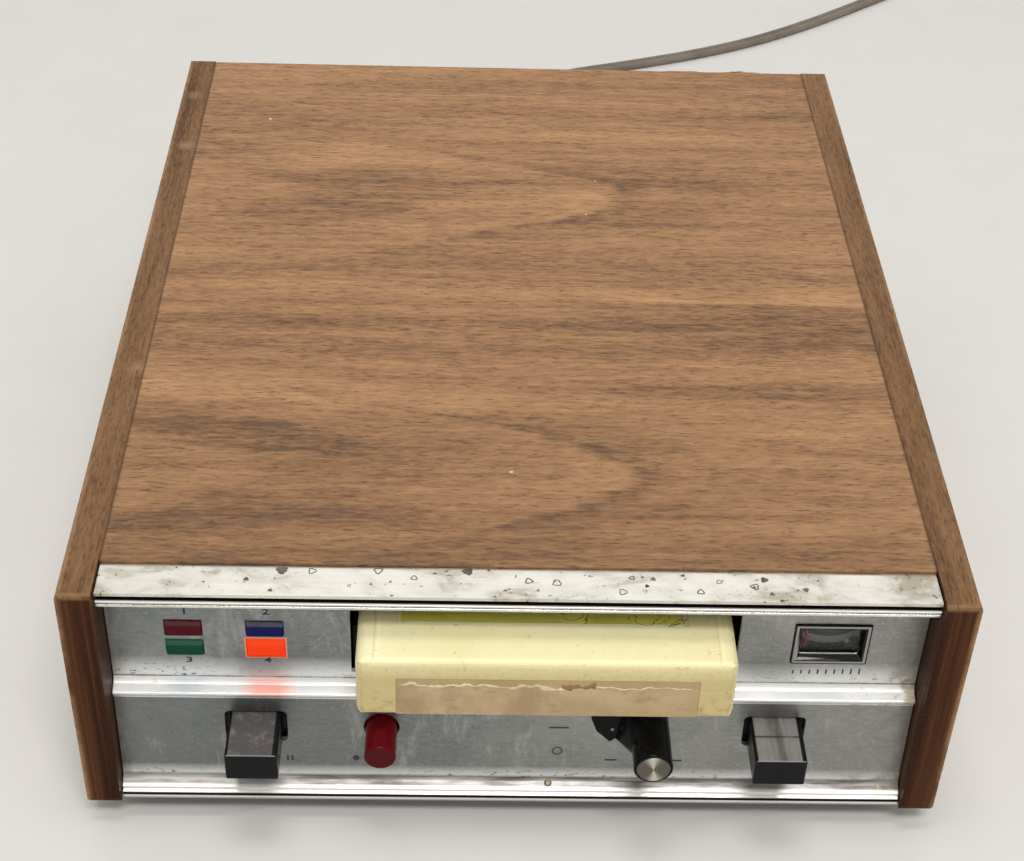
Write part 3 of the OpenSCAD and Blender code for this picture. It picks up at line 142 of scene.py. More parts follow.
def twin_section():
    """Two round cores side by side with a moulded groove between them."""
    half = [(cord_w / 4 + cord_w / 4 * cos(a), cord_t / 2 * sin(a))
            for a in (radians(-152 + 304 * k / 12) for k in range(13))]
    return half + [(-x, -y) for x, y in half]


cord = curve_mesh("mains_cord_run", cord_path, twin_section())


def surface(material):
    return material.node_tree.nodes["Principled BSDF"].inputs


def finish(name, rough=0.5, metal=0.0, **extra):
    """A new material; extra are the names of other sockets with _ for a space."""
    material = bpy.data.materials.new(name)
    material.use_nodes = True
    for socket, value in {"Roughness": rough, "Metallic": metal, **extra}.items():
        surface(material)[socket.replace("_", " ")].default_value = value
    return material


def put(material, kind, inputs=None, **settings):
    node = material.node_tree.nodes.new("ShaderNode" + kind)
    for key, value in settings.items():
        setattr(node, key, value)
    for key, value in (inputs or {}).items():
        if isinstance(value, bpy.types.NodeSocket):
            material.node_tree.links.new(value, node.inputs[key])
        else:
            node.inputs[key].default_value = value
    return node


def place(material, scale=(1, 1, 1), turn=(0, 0, 0), at=(0, 0, 0), coords=None):
    coords = coords or put(material, "TexCoord").outputs["Object"]
    return put(material, "Mapping", {"Vector": coords, "Scale": scale, "Rotation": turn,
                                     "Location": at}).outputs[0]


def noise(material, where, scale=1.0, detail=2.0, rough=0.5, warp=0.0):
    return put(material, "TexNoise", {"Vector": where, "Scale": scale, "Detail": detail,
                                      "Roughness": rough, "Distortion": warp}).outputs["Fac"]


def calc(material, operation, a, b=0.0, c=0.0, clamp=False):
    return put(material, "Math", {0: a, 1: b, 2: c}, operation=operation, use_clamp=clamp).outputs[0]


def step(material, value, low, high, out_low=0.0, out_high=1.0):
    return put(material, "MapRange", {"Value": value, "From Min": low, "From Max": high,
                                      "To Min": out_low, "To Max": out_high}).outputs[0]


def mix(material, amount, a, b, kind="MIX"):
    a, b = [(*c, 1) if isinstance(c, tuple) and len(c) == 3 else c for c in (a, b)]
    return put(material, "Mix", {0: amount, 6: a, 7: b}, data_type="RGBA", blend_type=kind,
               clamp_result=True).outputs[2]


def ramp(material, value, *stops):
    node = put(material, "ValToRGB", {"Fac": value})
    marks = node.color_ramp.elements
    marks[0].position, marks[1].position = stops[0][0], stops[-1][0]
    marks[0].color, marks[1].color = (*stops[0][1], 1), (*stops[-1][1], 1)
    for at, tint in stops[1:-1]:
        marks.new(at).color = (*tint, 1)
    return node.outputs["Color"]


def over(material, body, tone, value, low, high, amount=1.0):
    """Lays a tone over the body's colour where the value goes from low to high."""
    return mix(material, step(material, value, low, high, 0.0, amount), body, tone)


def feed(material, socket, value):
    material.node_tree.links.new(value, surface(material)[socket])


def colour(material, value):
    feed(material, "Base Color", value)


def roughness(material, value, smooth, rough, low=0.3, high=0.7):
    feed(material, "Roughness", step(material, value, low, high, smooth, rough))


def relief(material, height, depth, strength=1.0):
    bump = put(material, "Bump", {"Height": height, "Distance": depth, "Strength": strength})
    feed(material, "Normal", bump.outputs[0])


vinyl = finish("cord_vinyl", 0.42)
where = place(vinyl)
grime = noise(vinyl, where, 60, 4, 0.6)
colour(vinyl, mix(vinyl, step(vinyl, grime, 0.35, 0.7),
                  (0.20, 0.170, 0.135), (0.13, 0.105, 0.08)))
roughness(vinyl, grime, 0.36, 0.58)
relief(vinyl, noise(vinyl, where, 900, 3), 0.0002, 0.5)
cord.data.materials.append(vinyl)
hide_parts("mains_cord", "cord_coil")
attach(cord, "case")


def new_piece(name, shell, material, body="case", bevel=None, smooth=True):
    """Makes the piece of a finished bmesh, which rides on its body."""
    bmesh.ops.recalc_face_normals(shell, faces=shell.faces)
    data = bpy.data.meshes.new(name)
    shell.to_mesh(data)
    shell.free()
    data.materials.append(material)
    piece = link(bpy.data.objects.new(name, data))
    if smooth:
        data.shade_smooth()
    if bevel:
        soften = piece.modifiers.new("edges", "BEVEL")
        soften.width = bevel
        soften.segments = 3
        soften.limit_method = "ANGLE"
        soften.angle_limit = radians(35)
        soften.harden_normals = True
    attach(piece, body)
    return piece


def lofted(stations, segments=32, square=2.0):
    """A closed skin drawn along Y through rings [y, half width, half height], here in mm."""
    shell = bmesh.new()
    ring = bmesh.ops.create_circle(shell, radius=1, segments=segments)["verts"]
    for v in ring:
        reach = (abs(v.co.x) ** square + abs(v.co.y) ** square) ** (-1 / square)
        v.co = (v.co.x * reach, 0, v.co.y * reach)
    rim = list(shell.edges)
    wide = high = 1
    for n, (y, w, h) in enumerate(stations):
        if n:
            made = bmesh.ops.extrude_edge_only(shell, edges=rim)["geom"]
            ring = [g for g in made if isinstance(g, bmesh.types.BMVert)]
            rim = [g for g in made if isinstance(g, bmesh.types.BMEdge) and set(g.verts) <= set(ring)]
        for v in ring:
            v.co = (v.co.x * w / wide, y, v.co.z * h / high)
        wide, high = w, h
    bmesh.ops.holes_fill(shell, edges=shell.edges)
    return shell


def put_at(shell, move=(0, 0, 0), turn=0.0):
    """Scales from mm, turns about Z and moves to a place in mm."""
    bmesh.ops.transform(shell, verts=shell.verts, matrix=Matrix.Translation(Vector(move) * mm)
                        @ Matrix.Rotation(turn, 4, "Z") @ Matrix.Scale(mm, 4))


def mottled(name, light, dark, rough=0.5, metal=0.0, grain=300.0, depth=0.00005, low=0.35, high=0.65,
            **extra):
    """A finish with two tones, uneven gloss and a fine tooth, all from one stained surface."""
    made = finish(name, rough, metal, **extra)
    spots = noise(made, place(made), grain, 4, 0.6)
    cloud = noise(made, place(made), grain / 9, 3, 0.55, 0.3)
    colour(made, mix(made, step(made, cloud, low, high), dark, light))
    roughness(made, spots, max(rough - 0.1, 0.03), min(rough + 0.14, 1))
    relief(made, spots, depth, 0.5)
    return made


# ---- strain relief and plug
# Black vinyl bush that grips the rear panel and tapers down to the cord over ribs, and the plug
# moulded on the cord's end, with two brass blades.
soft_black = mottled("soft_black_moulding", (0.030, 0.029, 0.028), (0.012, 0.012, 0.012), 0.5, grain=900)
blade_brass = mottled("blade_brass", (0.62, 0.47, 0.22), (0.40, 0.29, 0.13), 0.32, 1.0, 500)
bush_end = 175
ribs = [(148.5 + 3.2 * k + d, 5.0 - 0.15 * k - cut, 4.4 - 0.22 * k - cut)
        for k in range(8) for d, cut in ((0, 0), (1.9, 0), (2.0, 0.7), (3.1, 0.7))]
bush = lofted([(136.5 + 1.0, 6.6, 6.6), (139.0, 6.6, 6.6), (139.1, 5.2, 5.2), (145.1, 5.2, 5.2),
               (145.2, 6.8, 6.8), (147.4, 6.8, 6.8), (147.8, 6.3, 6.3), (148.4, 5.1, 4.6)]
              + ribs + [(bush_end, 3.5, 2.1)], 40)
put_at(bush, (-40, 0, 28))
bush = new_piece("cord_bush", bush, soft_black, bevel=0.00025)
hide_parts("strain_relief")
plug_turn = math.atan2(way_out.y, way_out.x) - pi / 2
plug_place = plug_at / mm
body = lofted([(0, 4.0, 2.6), (5, 4.6, 2.9), (9, 6.6, 3.7), (12, 8.1, 4.3), (14, 8.5, 4.48),
               (15, 8.1, 4.1), (16, 8.5, 4.48), (17.5, 8.5, 4.48), (18.5, 8.1, 4.1), (19.5, 8.5, 4.48),
               (25, 8.5, 4.48), (26, 7.9, 4.0)], 40, 3.2)
put_at(body, plug_place, plug_turn)
plug = new_piece("plug_body", body, soft_black, bevel=0.0003)
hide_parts("mains_plug")
blades = bmesh.new()
for side in (-1, 1):
    made = bmesh.ops.create_cube(blades, size=1)["verts"]
    bmesh.ops.scale(blades, verts=made, vec=(1.5, 17, 6.2))
    bmesh.ops.translate(blades, verts=made, vec=(side * 6.35, 34, 0))
    tip = [e for e in blades.edges if all(v.co.y > 40 and v in made for v in e.verts)
           and abs(e.verts[0].co.x - e.verts[1].co.x) > 1]
    bmesh.ops.bevel(blades, geom=tip, offset=1.8, segments=3, profile=0.5, affect="EDGES", material=-1)
put_at(blades, plug_place, plug_turn)
blades = new_piece("plug_blades", blades, blade_brass, bevel=0.0002, smooth=False)

# ---- table and light
# A plain pale table top under soft studio light: the main lamp stands high in front, a weaker one
# hangs right above, and a wide one behind is what the bright strip reflects.
table = finish("table_top", 0.85)
speck = noise(table, place(table), 30, 3)
colour(table, mix(table, speck, (0.65, 0.645, 0.63), (0.69, 0.685, 0.67)))
ground = bmesh.new()
bmesh.ops.create_grid(ground, x_segments=8, y_segments=8, size=4)
ground_mesh = bpy.data.meshes.new("table_top")
ground.to_mesh(ground_mesh)
ground.free()
ground_mesh.materials.append(table)
link(bpy.data.objects.new("table_top", ground_mesh))
world = bpy.data.worlds.new("studio")
scene.world = world
world.use_nodes = True
sky = world.node_tree.nodes["Background"]
sky.inputs["Color"].default_value = (1.0, 0.985, 0.96, 1)
sky.inputs["Strength"].default_value = 0.50


def soft_lamp(name, at, toward, size, power):
    lamp = bpy.data.lights.new(name, "AREA")
    lamp.shape = "RECTANGLE"
    lamp.size, lamp.size_y = size
    lamp.energy = power
    lamp.color = (1.0, 0.97, 0.93)
    holder = link(bpy.data.objects.new(name, lamp))
    holder.location = at
    holder.rotation_euler = (Vector(toward) - Vector(at)).to_track_quat("-Z", "Y").to_euler()


soft_lamp("light_above", (-0.04, -0.20, 1.6), (0, -0.05, 0.05), (0.5, 0.4), 6)
soft_lamp("light_high_front", (0.12, -1.0, 1.65), (0, -0.1, 0.05), (0.7, 0.3), 16)
soft_lamp("light_behind", (0, 1.55, 1.45), (0, -0.1, 0.05), (2.6, 1.2), 8)
soft_lamp("front_fill", (0.3, -1.5, 0.8), (0, -0.1, 0.05), (1.2, 0.8), 2.0)

# ---- walnut case
# Chipboard boards faced with walnut veneer. The top's figure runs from side to side in long arches
# whose points lie to the right. The side boards stand proud of it, and their edges are rubbed pale.


def dress(material, *nodes):
    for name in nodes:
        for place_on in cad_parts[name].material_slots:
            place_on.material = material


def parts(material, vector=None):
    return put(material, "SeparateXYZ", {0: vector or place(material)}).outputs


def normals(material):
    return parts(material, put(material, "NewGeometry").outputs["Normal"])


def times(material, a, b):
    return calc(material, "MULTIPLY", a, b)


def most(material, a, b):
    return calc(material, "MAXIMUM", a, b)


def less(material, a, b):
    return calc(material, "SUBTRACT", a, b)


def size(material, value):
    return calc(material, "ABSOLUTE", value)


def away(material, value, at):
    """How far the value is from at."""
    return size(material, less(material, value, at))


def close_to(material, value, at, width):
    """1 where the value is at, falling to 0 a width away."""
    off = away(material, value, at)
    return step(material, off, width, 0.0)


def total(material, *shares):
    """The sum of values, each times its share."""
    so_far = times(material, *shares[0])
    for value, share in shares[1:]:
        so_far = calc(material, "MULTIPLY_ADD", value, share, so_far)
    return so_far


def tongue(wood, grain, rag, tip_x, tip_y):
    """One arch of the figure: pale inside, closed by a dark line at its point on the right."""
    x, y = parts(wood, grain)[0], parts(wood, grain)[1]
    aside = calc(wood, "DIVIDE", less(wood, y, tip_y), 0.0075)
    bow = calc(wood, "SQRT", calc(wood, "MULTIPLY_ADD", aside, aside, 1.0))
    outside = total(wood, (bow, 0.0225), (x, 1.0), (rag, 1.0), (-0.0225 - tip_x, 1.0))
    figure = ramp(wood, step(wood, outside, -0.20, 0.06),
                  (0.0, (0.55,) * 3), (0.30, (0.72,) * 3), (0.36, (0.34,) * 3), (0.50, (0.38,) * 3),
                  (0.55, (0.58,) * 3), (0.75, (0.76,) * 3), (0.775, (0.12,) * 3), (0.83, (0.44,) * 3),
                  (0.86, (0.34,) * 3), (1.0, (0.50,) * 3))
    beside = away(wood, y, tip_y)
    return times(wood, less(wood, figure, 0.5), step(wood, beside, 0.046, 0.012, 0.0, 1.0))


def walnut(name, turn, arches, light, middle, dark, gloss):
    """The veneer's colour, its open pores and its light and dark bands along the grain."""
    wood = finish(name, 0.42, IOR=gloss)
    grain = place(wood, turn=turn)
    broad = noise(wood, place(wood, (4.0, 24, 24), coords=grain), 1, 4, 0.6, 0.5)
    streak = noise(wood, place(wood, (6.0, 120, 120), coords=grain), 1, 3, 0.6)
    fibre = noise(wood, place(wood, (45, 520, 520), coords=grain), 1, 3, 0.65)
    fleck = noise(wood, place(wood, (230, 1050, 1050), coords=grain), 1, 2, 0.6)
    pores = noise(wood, place(wood, (260, 1900, 1900), coords=grain), 1, 2, 0.55)
    figure = 0.0
    if arches:
        rag = total(wood, (broad, 0.060), (streak, 0.020), (-0.040, 1.0))
        y = total(wood, (parts(wood, grain)[1], 1.0), (streak, 0.006), (-0.003, 1.0))
        pale_line = times(wood, close_to(wood, y, -0.0015, 0.0030),
                          step(wood, parts(wood, grain)[0], -0.08, 0.04))
        dark_band = close_to(wood, y, -0.016, 0.019)
        figure = total(wood, (tongue(wood, grain, rag, *arches[0]), 1.0),
                       (tongue(wood, grain, rag, *arches[1]), 1.0), (pale_line, 0.42), (dark_band, -0.36))
    tone = total(wood, (broad, 0.66), (streak, 0.50), (fibre, 0.52), (fleck, 0.56), (figure, 0.42))
    tone = step(wood, tone, 0.83, 1.41)
    body = ramp(wood, tone, (0.0, dark), (0.42, middle), (1.0, light))
    pits = step(wood, total(wood, (pores, 1.0), (tone, -0.07)), 0.555, 0.64)
    return wood, body, pits


def seal(wood, body, pits, depth=0.0001):
    """Oil over the veneer: open pores stay dark and dull."""
    colour(wood, mix(wood, times(wood, pits, 0.6), body, (0.085, 0.038, 0.016)))
    roughness(wood, pits, 0.44, 0.66, 0.0, 1.0)
    relief(wood, less(wood, 1.0, pits), depth, 0.6)


top, body, pits = walnut("walnut_top", (0, 0, 0), ((0.040, 0.060), (0.036, -0.088)),
                         (0.45, 0.245, 0.110), (0.275, 0.140, 0.059), (0.118, 0.057, 0.026), 1.38)
seam = close_to(top, size(top, parts(top)[0]), 0.1111, 0.0007)
body = mix(top, times(top, seam, 0.85), body, (0.03, 0.015, 0.008))
crumbs = step(top, noise(top, place(top), 260, 1), 0.815, 0.84)
body = mix(top, crumbs, body, (0.72, 0.60, 0.42))
# Painted shade: the top darkens towards its front edge.
frontward_shade = step(top, parts(top)[1], -0.02, -0.12, 0.0, 0.20)
body = mix(top, frontward_shade, body, (0.05, 0.03, 0.02))
seal(top, body, pits)
dress(top, "top_panel")

sides, body, pits = walnut("walnut_sides", (0, 0, -pi / 2), None,
                           (0.272, 0.152, 0.077), (0.178, 0.097, 0.049), (0.092, 0.047, 0.024), 1.15)
# Painted shade: the boards' front faces and their inner faces by the slot are coloured dark, in streaks.
front_bands = noise(sides, place(sides, (260, 260, 5)), 1, 3, 0.6, 0.3)
front_fibre = noise(sides, place(sides, (900, 900, 9)), 1, 3, 0.6)
side_front_shade = ramp(sides, total(sides, (front_bands, 0.6), (front_fibre, 0.4)),
                  (0.36, (0.018, 0.005, 0.002)), (0.52, (0.054, 0.018, 0.007)),
                  (0.68, (0.130, 0.055, 0.023)))
x, y, z = parts(sides)
facing = normals(sides)
inner = times(sides, step(sides, y, -0.120, -0.124),
              step(sides, size(sides, x), 0.1120, 0.1115))
inner = times(sides, inner, step(sides, size(sides, facing[0]), 0.6, 0.8))
body = mix(sides, most(sides, inner, step(sides, facing[1], -0.4, -0.7)),
           body, side_front_shade)
outer = close_to(sides, size(sides, x), 0.1205, 0.0016)
upper = close_to(sides, z, 0.0895, 0.0016)
ahead = close_to(sides, y, -0.140, 0.0018)
edges = times(sides, outer, upper)
for pair in ((ahead, upper), (outer, ahead)):
    edges = most(sides, edges, times(sides, *pair))
rub = noise(sides, place(sides, (60, 25, 60)), 1, 4, 0.65)
worn = times(sides, edges, step(sides, rub, 0.36, 0.60, 0.1, 0.85))
body = mix(sides, worn, body, (0.44, 0.26, 0.13))
for knock in ((-0.1158, 0.1250, 0.0895), (-0.1143, 0.0889, 0.0895), (-0.1131, -0.0418, 0.0895)):
    off = put(sides, "VectorMath", {0: place(sides), 1: knock}, operation="DISTANCE").outputs["Value"]
    scuff = times(sides, step(sides, off, 0.0042, 0.0), step(sides, rub, 0.3, 0.6, 0.1, 0.8))
    body = mix(sides, scuff, body, (0.34, 0.22, 0.14))
seal(sides, body, pits)
dress(sides, "left_side_panel", "right_side_panel")

# Slivers of veneer that have lifted at the back edge
torn = mottled("torn_veneer", (0.52, 0.29, 0.12), (0.30, 0.15, 0.06), 0.7, grain=600)
slivers = bmesh.new()
for x0, long, turn, lift in ((62, 9, 0.10, 0.4), (66, 12, -0.05, 0.9), (82, 15, 0.13, 0.6),
                             (90, 11, -0.16, 1.2)):
    made = bmesh.ops.create_cone(slivers, cap_ends=True, segments=6, radius1=0.9, radius2=0.12,
                                 depth=long)
    bmesh.ops.transform(slivers, verts=made["verts"],
                        matrix=Matrix.Translation((x0, 152.3, 88.3 + lift * 0.4))
                        @ Matrix.Rotation(turn, 4, "Z") @ Matrix.Rotation(-lift * 0.08, 4, "Y")
                        @ Matrix.Scale(0.35, 4, (0, 0, 1)) @ Matrix.Rotation(pi / 2, 4, "Y"))
put_at(slivers)
new_piece("veneer_slivers", slivers, torn)

# ---- aluminium strip and front panel
# Extruded aluminium. The strip is polished and spotted by damp, and its front face is painted shade. The
# panel's upright faces are finely grained and grey with painted shade and light bands, and its ledges and
# coves are painted bright as lit faces, with dirt at their right ends.
strip = finish("strip_aluminium", 0.3, 1.0)
x, y, z = parts(strip)
rolled = noise(strip, place(strip, (7, 1300, 1300)), 1, 3, 0.6)
stain = noise(strip, place(strip, (1, 1.6, 1)), 70, 5, 0.65, 0.4)
spots = noise(strip, place(strip), 480, 3, 0.6)
ends = most(strip, step(strip, x, 0.060, 0.104),
            step(strip, x, -0.072, -0.104, 0, 0.75))
body = mix(strip, rolled, (0.62, 0.605, 0.545), (0.84, 0.825, 0.77))
dirty = total(strip, (stain, 1.0), (ends, 0.10), (rolled, 0.12))
body = over(strip, body, (0.42, 0.38, 0.28), dirty, 0.61, 0.76, 0.75)
dark_spots = total(strip, (spots, 1.0), (stain, 0.30))
body = over(strip, body, (0.13, 0.11, 0.08), dark_spots, 0.80, 0.87)
# Painted shade: the strip's front face is coloured near black and is not metal.
strip_face_shade = step(strip, z, 0.08722, 0.08712)
body = mix(strip, strip_face_shade, body, (0.006, 0.005, 0.005))
feed(strip, "Metallic", step(strip, strip_face_shade, 0, 1, 1.0, 0.0))
colour(strip, body)
roughness(strip, dirty, 0.26, 0.55, 0.5, 0.75)
relief(strip, rolled, 0.00002, 0.4)
dress(strip, "top_trim_strip")

# Rings and blots that damp has eaten into the strip
corroded = mottled("corroded_skin", (0.20, 0.18, 0.15), (0.05, 0.045, 0.04), 0.7, 0.4, 1500)
blots = bmesh.new()
for x0, y0, r, ring in ((-55, -127.6, 1.1, 0.35), (-37.6, -127.2, 1.2, 0.4), (-28.1, -129.8, 0.9, 0.3),
                        (-63, -127.4, 1.5, 0), (-14, -127, 1.4, 0), (2.1, -130.4, 1.1, 0.4),
                        (9.5, -131, 1.2, 0.35), (29.4, -128.7, 0.8, 0.3), (26.7, -134.1, 1.1, 0.3),
                        (33.2, -131.7, 0.6, 0), (35, -129, 0.7, 0), (52.4, -129.8, 0.8, 0.25),
                        (47.2, -133.7, 1.0, 0.35), (61.7, -131.5, 1.2, 0.4), (64.5, -128.8, 1.0, 0),
                        (66, -134.2, 0.7, 0), (75.1, -132.4, 0.8, 0), (-65.4, -135.1, 0.6, 0),
                        (-45, -133, 0.5, 0.2), (-72, -131, 0.7, 0), (43, -127.5, 0.5, 0)):
    made = bmesh.ops.create_circle(blots, cap_ends=True, segments=20, radius=r)["verts"]
    for v in made:
        a = math.atan2(v.co.y, v.co.x)
        v.co *= 1 + 0.16 * sin(3 * a + x0) + 0.10 * sin(7 * a + y0)
    if ring:
        disc = [f for f in blots.faces if made[0] in f.verts]
        bmesh.ops.inset_individual(blots, faces=disc, thickness=ring)
        bmesh.ops.delete(blots, geom=disc, context="FACES")
        made = [v for v in blots.verts if v.co.length < 2.5 and v.co.z == 0]
    bmesh.ops.translate(blots, verts=made, vec=(x0, y0, 88.21))
bmesh.ops.solidify(blots, geom=blots.faces, thickness=0.02)
put_at(blots)
new_piece("strip_corrosion", blots, corroded, smooth=False)

ledge_fold = 0.0497
lit_window_x = -0.06845
lit_window_z = 0.06085
blue_spill_x = -0.0900
panel = finish("panel_aluminium", 0.34, 1.0)
x, y, z = parts(panel)
grainy = noise(panel, place(panel, (320, 900, 900)), 1, 4, 0.7)
cloudy = noise(panel, place(panel), 28, 4, 0.6, 0.3)
fleck = noise(panel, place(panel), 1500, 2, 0.5)
upright_shaded = mix(panel, step(panel, grainy, 0.3, 0.7), (0.205, 0.215, 0.213), (0.305, 0.318, 0.315))
upright_shaded = over(panel, upright_shaded, (0.55, 0.55, 0.53), cloudy, 0.50, 0.72, 0.35)
upright_shaded = over(panel, upright_shaded, (0.56, 0.56, 0.55), fleck, 0.62, 0.74, 0.7)
bright = mix(panel, step(panel, cloudy, 0.35, 0.65), (0.70, 0.71, 0.70), (0.83, 0.835, 0.83))
sill_stain = noise(panel, place(panel, (40, 300, 300)), 1, 4, 0.6)
bright = mix(panel, step(panel, z, 0.030, 0.028), bright,
             mix(panel, step(panel, sill_stain, 0.38, 0.60), (0.40, 0.395, 0.38), (0.12, 0.11, 0.105)))
# Painted shade and light: the lower upright face darkens to the left, the right end is painted lighter
# and warm, the left end cooler and darker.
darker = times(panel, step(panel, z, 0.0455, 0.0445),
               step(panel, x, 0.12, -0.10, 0.0, 0.30))
upright_shaded = mix(panel, darker, upright_shaded, (0.12, 0.12, 0.115))
upright_shaded = over(panel, upright_shaded, (0.52, 0.49, 0.43), x, 0.02, 0.11, 0.24)
upright_shaded = over(panel, upright_shaded, (0.15, 0.18, 0.185), x, 0.0, -0.09, 0.35)
scuffed = noise(panel, place(panel, (1, 1, 0.35)), 120, 4, 0.7, 0.5)
upright_shaded = over(panel, upright_shaded, (0.50, 0.50, 0.48), scuffed, 0.56, 0.68, 0.45)
# Painted light and shade of one metal: upright faces take the shaded colour, all others the lit one.
flat = times(panel, step(panel, normals(panel)[1], -0.90, -0.975),
             less(panel, 1.0, times(panel, step(panel, z, ledge_fold + 0.0002, ledge_fold),
                                    step(panel, z, 0.0440, 0.0442))))
# Painted light: a pale band on the upright faces just above the middle ledge and above the sill, with
# real pits in it.
above_ledge = times(panel, step(panel, z, 0.0575, 0.0510),
                    step(panel, z, 0.044, 0.045))
above_sill = step(panel, z, 0.0190, 0.0150)
lit = most(panel, above_ledge, above_sill)
upright_shaded = mix(panel, times(panel, lit, 0.9), upright_shaded, (0.93, 0.95, 0.95))
pitted = noise(panel, place(panel, (1, 1, 2)), 520, 3, 0.6)
pit_band = times(panel, lit, step(panel, cloudy, 0.36, 0.60))
upright_shaded = mix(panel, times(panel, pit_band, step(panel, pitted, 0.57, 0.66)),
            upright_shaded, (0.10, 0.10, 0.10))
ends = most(panel, step(panel, x, 0.084, 0.108), step(panel, x, -0.098, -0.110, 0, 0.7))
soil = total(panel, (noise(panel, place(panel), 150, 5, 0.7, 0.4), 1.0), (ends, 0.16))
bright = over(panel, bright, (0.42, 0.34, 0.20), soil, 0.66, 0.76, 0.8)
grimy = times(panel, ends, most(panel, lit, 0.18))
upright_shaded = mix(panel, times(panel, grimy, step(panel, soil, 0.58, 0.74, 0.15, 0.8)),
            upright_shaded, (0.27, 0.22, 0.13))
body = mix(panel, flat, bright, upright_shaded)

# The lit window's glow painted on the metal round it and on the ledge below it, and a painted
# blue-green reflection of the window above on the ledge at the left
beside = away(panel, x, lit_window_x)
above = away(panel, z, lit_window_z)
rim = times(panel, step(panel, beside, 0.00580, 0.00565), step(panel, above, 0.0040, 0.0038))
body = mix(panel, rim, body, (1.0, 0.45, 0.33))
rim = times(panel, step(panel, beside, 0.00550, 0.00535), step(panel, above, 0.0037, 0.0036))
body = mix(panel, rim, body, (1.0, 0.16, 0.05))
on_ledge = times(panel, step(panel, z, 0.050, 0.048), step(panel, z, 0.0445, 0.0465))
spill = times(panel, on_ledge, step(panel, beside, 0.0085, 0.0030))
body = mix(panel, times(panel, spill, 0.75), body, (1.0, 0.30, 0.24))
beside = away(panel, x, blue_spill_x)
spill = times(panel, on_ledge, step(panel, beside, 0.0090, 0.0020))
body = mix(panel, times(panel, spill, 0.35), body, (0.30, 0.42, 0.50))

# Lips at the head and the foot coloured bright, and painted shade: black grooves, the dark gap
# under the strip and dark folds between the faces
lip = step(panel, y, -0.1358, -0.1364)
body = mix(panel, lip, body, (0.86, 0.85, 0.82))
fold = times(panel, close_to(panel, z, ledge_fold, 0.0004),
             step(panel, soil, 0.35, 0.60, 0.5, 0.95))
fold = most(panel, fold, times(panel, close_to(panel, z, 0.0150, 0.0006), 0.5))
fold = most(panel, fold, close_to(panel, z, 0.0846, 0.0003))
under_strip = times(panel, step(panel, z, 0.08515, 0.08525),
                    step(panel, y, -0.1367, -0.1365))
fold = most(panel, fold, under_strip)
groove = times(panel, step(panel, z, 0.0109, 0.0107), step(panel, z, 0.0097, 0.0099))
fold = most(panel, fold, groove)
fold = most(panel, fold, times(panel, step(panel, z, 0.0092, 0.0088), 0.6))
colour(panel, mix(panel, fold, body, (0.010, 0.009, 0.008)))
dull = total(panel, (step(panel, flat, 0, 1, 0.30, 0.38), 1.0),
             (step(panel, soil, 0.5, 0.8, 0.0, 0.2), 1.0), (fold, 0.5))
feed(panel, "Roughness", dull)
feed(panel, "Specular IOR Level", step(panel, fold, 0.0, 1.0, 0.5, 0.05))
metal = times(panel, step(panel, flat, 0, 1, 0.45, 1.0), less(panel, 1.0, fold))
feed(panel, "Metallic", metal)
relief(panel, grainy, 0.00003, 0.35)
dress(panel, "front_panel")

# A second fine bead runs under the panel's upper lip
lip_metal = mottled("lip_aluminium", (0.86, 0.85, 0.81), (0.66, 0.65, 0.61), 0.26, 1.0, 700)
bead = bmesh.new()
bmesh.ops.create_cube(bead, size=1)
bmesh.ops.scale(bead, verts=bead.verts, vec=(222.0, 1.2, 0.95))
bmesh.ops.translate(bead, verts=bead.verts, vec=(0, -136.55, 83.68))
put_at(bead)
new_piece("panel_lip_bead", bead, lip_metal, bevel=0.0003)

# ---- print and small things on the panel
# Black screen-printed numerals at the windows and plain marks at the controls, and one small rivet
# in the bottom ledge. The print lies on the metal.
ink = mottled("screen_ink", (0.022, 0.022, 0.024), (0.012, 0.012, 0.013), 0.45, grain=900)


def face_y(z):
    """The panel's face at a height: the upper part is upright, the lower leans back going up."""
    return -129.1 if z > 46 else -133.9 + (z - 14.6) * 1.9 / 29.8


def lay_print(shell, x, z, thick=0.05):
    """Lays flat shapes, drawn in XY in mm, on the panel's face about a point, and gives them body."""
    for v in shell.verts:
        v.co = (x + v.co.x, face_y(z + v.co.y) - 0.01, z + v.co.y)
    bmesh.ops.recalc_face_normals(shell, faces=shell.faces)
    bmesh.ops.solidify(shell, geom=shell.faces, thickness=thick)
    bmesh.ops.translate(shell, verts=shell.verts, vec=(0, -0.5 * thick, 0))


for digit, x, z in (("1", -89.6, 74.2), ("2", -67.9, 74.3), ("3", -89.5, 55.9), ("4", -68.1, 56.1)):
    figure = bpy.data.curves.new("figure_" + digit, "FONT")
    figure.body = digit
    figure.size = 2.8
    figure.offset = 0.04
    figure.align_x = "CENTER"
    figure.align_y = "CENTER"
    holder = link(bpy.data.objects.new("figure_" + digit, figure))
    drawn = bpy.data.meshes.new_from_object(holder.evaluated_get(bpy.context.evaluated_depsgraph_get()))
    bpy.data.objects.remove(holder)
    shell = bmesh.new()
    shell.from_mesh(drawn)
    bmesh.ops.remove_doubles(shell, verts=shell.verts, dist=1e-4)
    bmesh.ops.scale(shell, verts=shell.verts, vec=(1.45, 1, 1))
    lay_print(shell, x, z)
    put_at(shell)
    new_piece("numeral_" + digit, shell, ink, smooth=False)


def printed_bars(name, x, z, *bars):
    """A group of bars [centre x, centre z, width, height] about a point of the panel."""
    shell = bmesh.new()
    for bx, bz, w, h in bars:
        made = bmesh.ops.create_grid(shell, x_segments=1, y_segments=1, size=0.5)["verts"]
        bmesh.ops.scale(shell, verts=made, vec=(w, h, 1))
        bmesh.ops.translate(shell, verts=made, vec=(bx, bz, 0))
    lay_print(shell, x, z)
    put_at(shell)
    return new_piece(name, shell, ink, smooth=False)


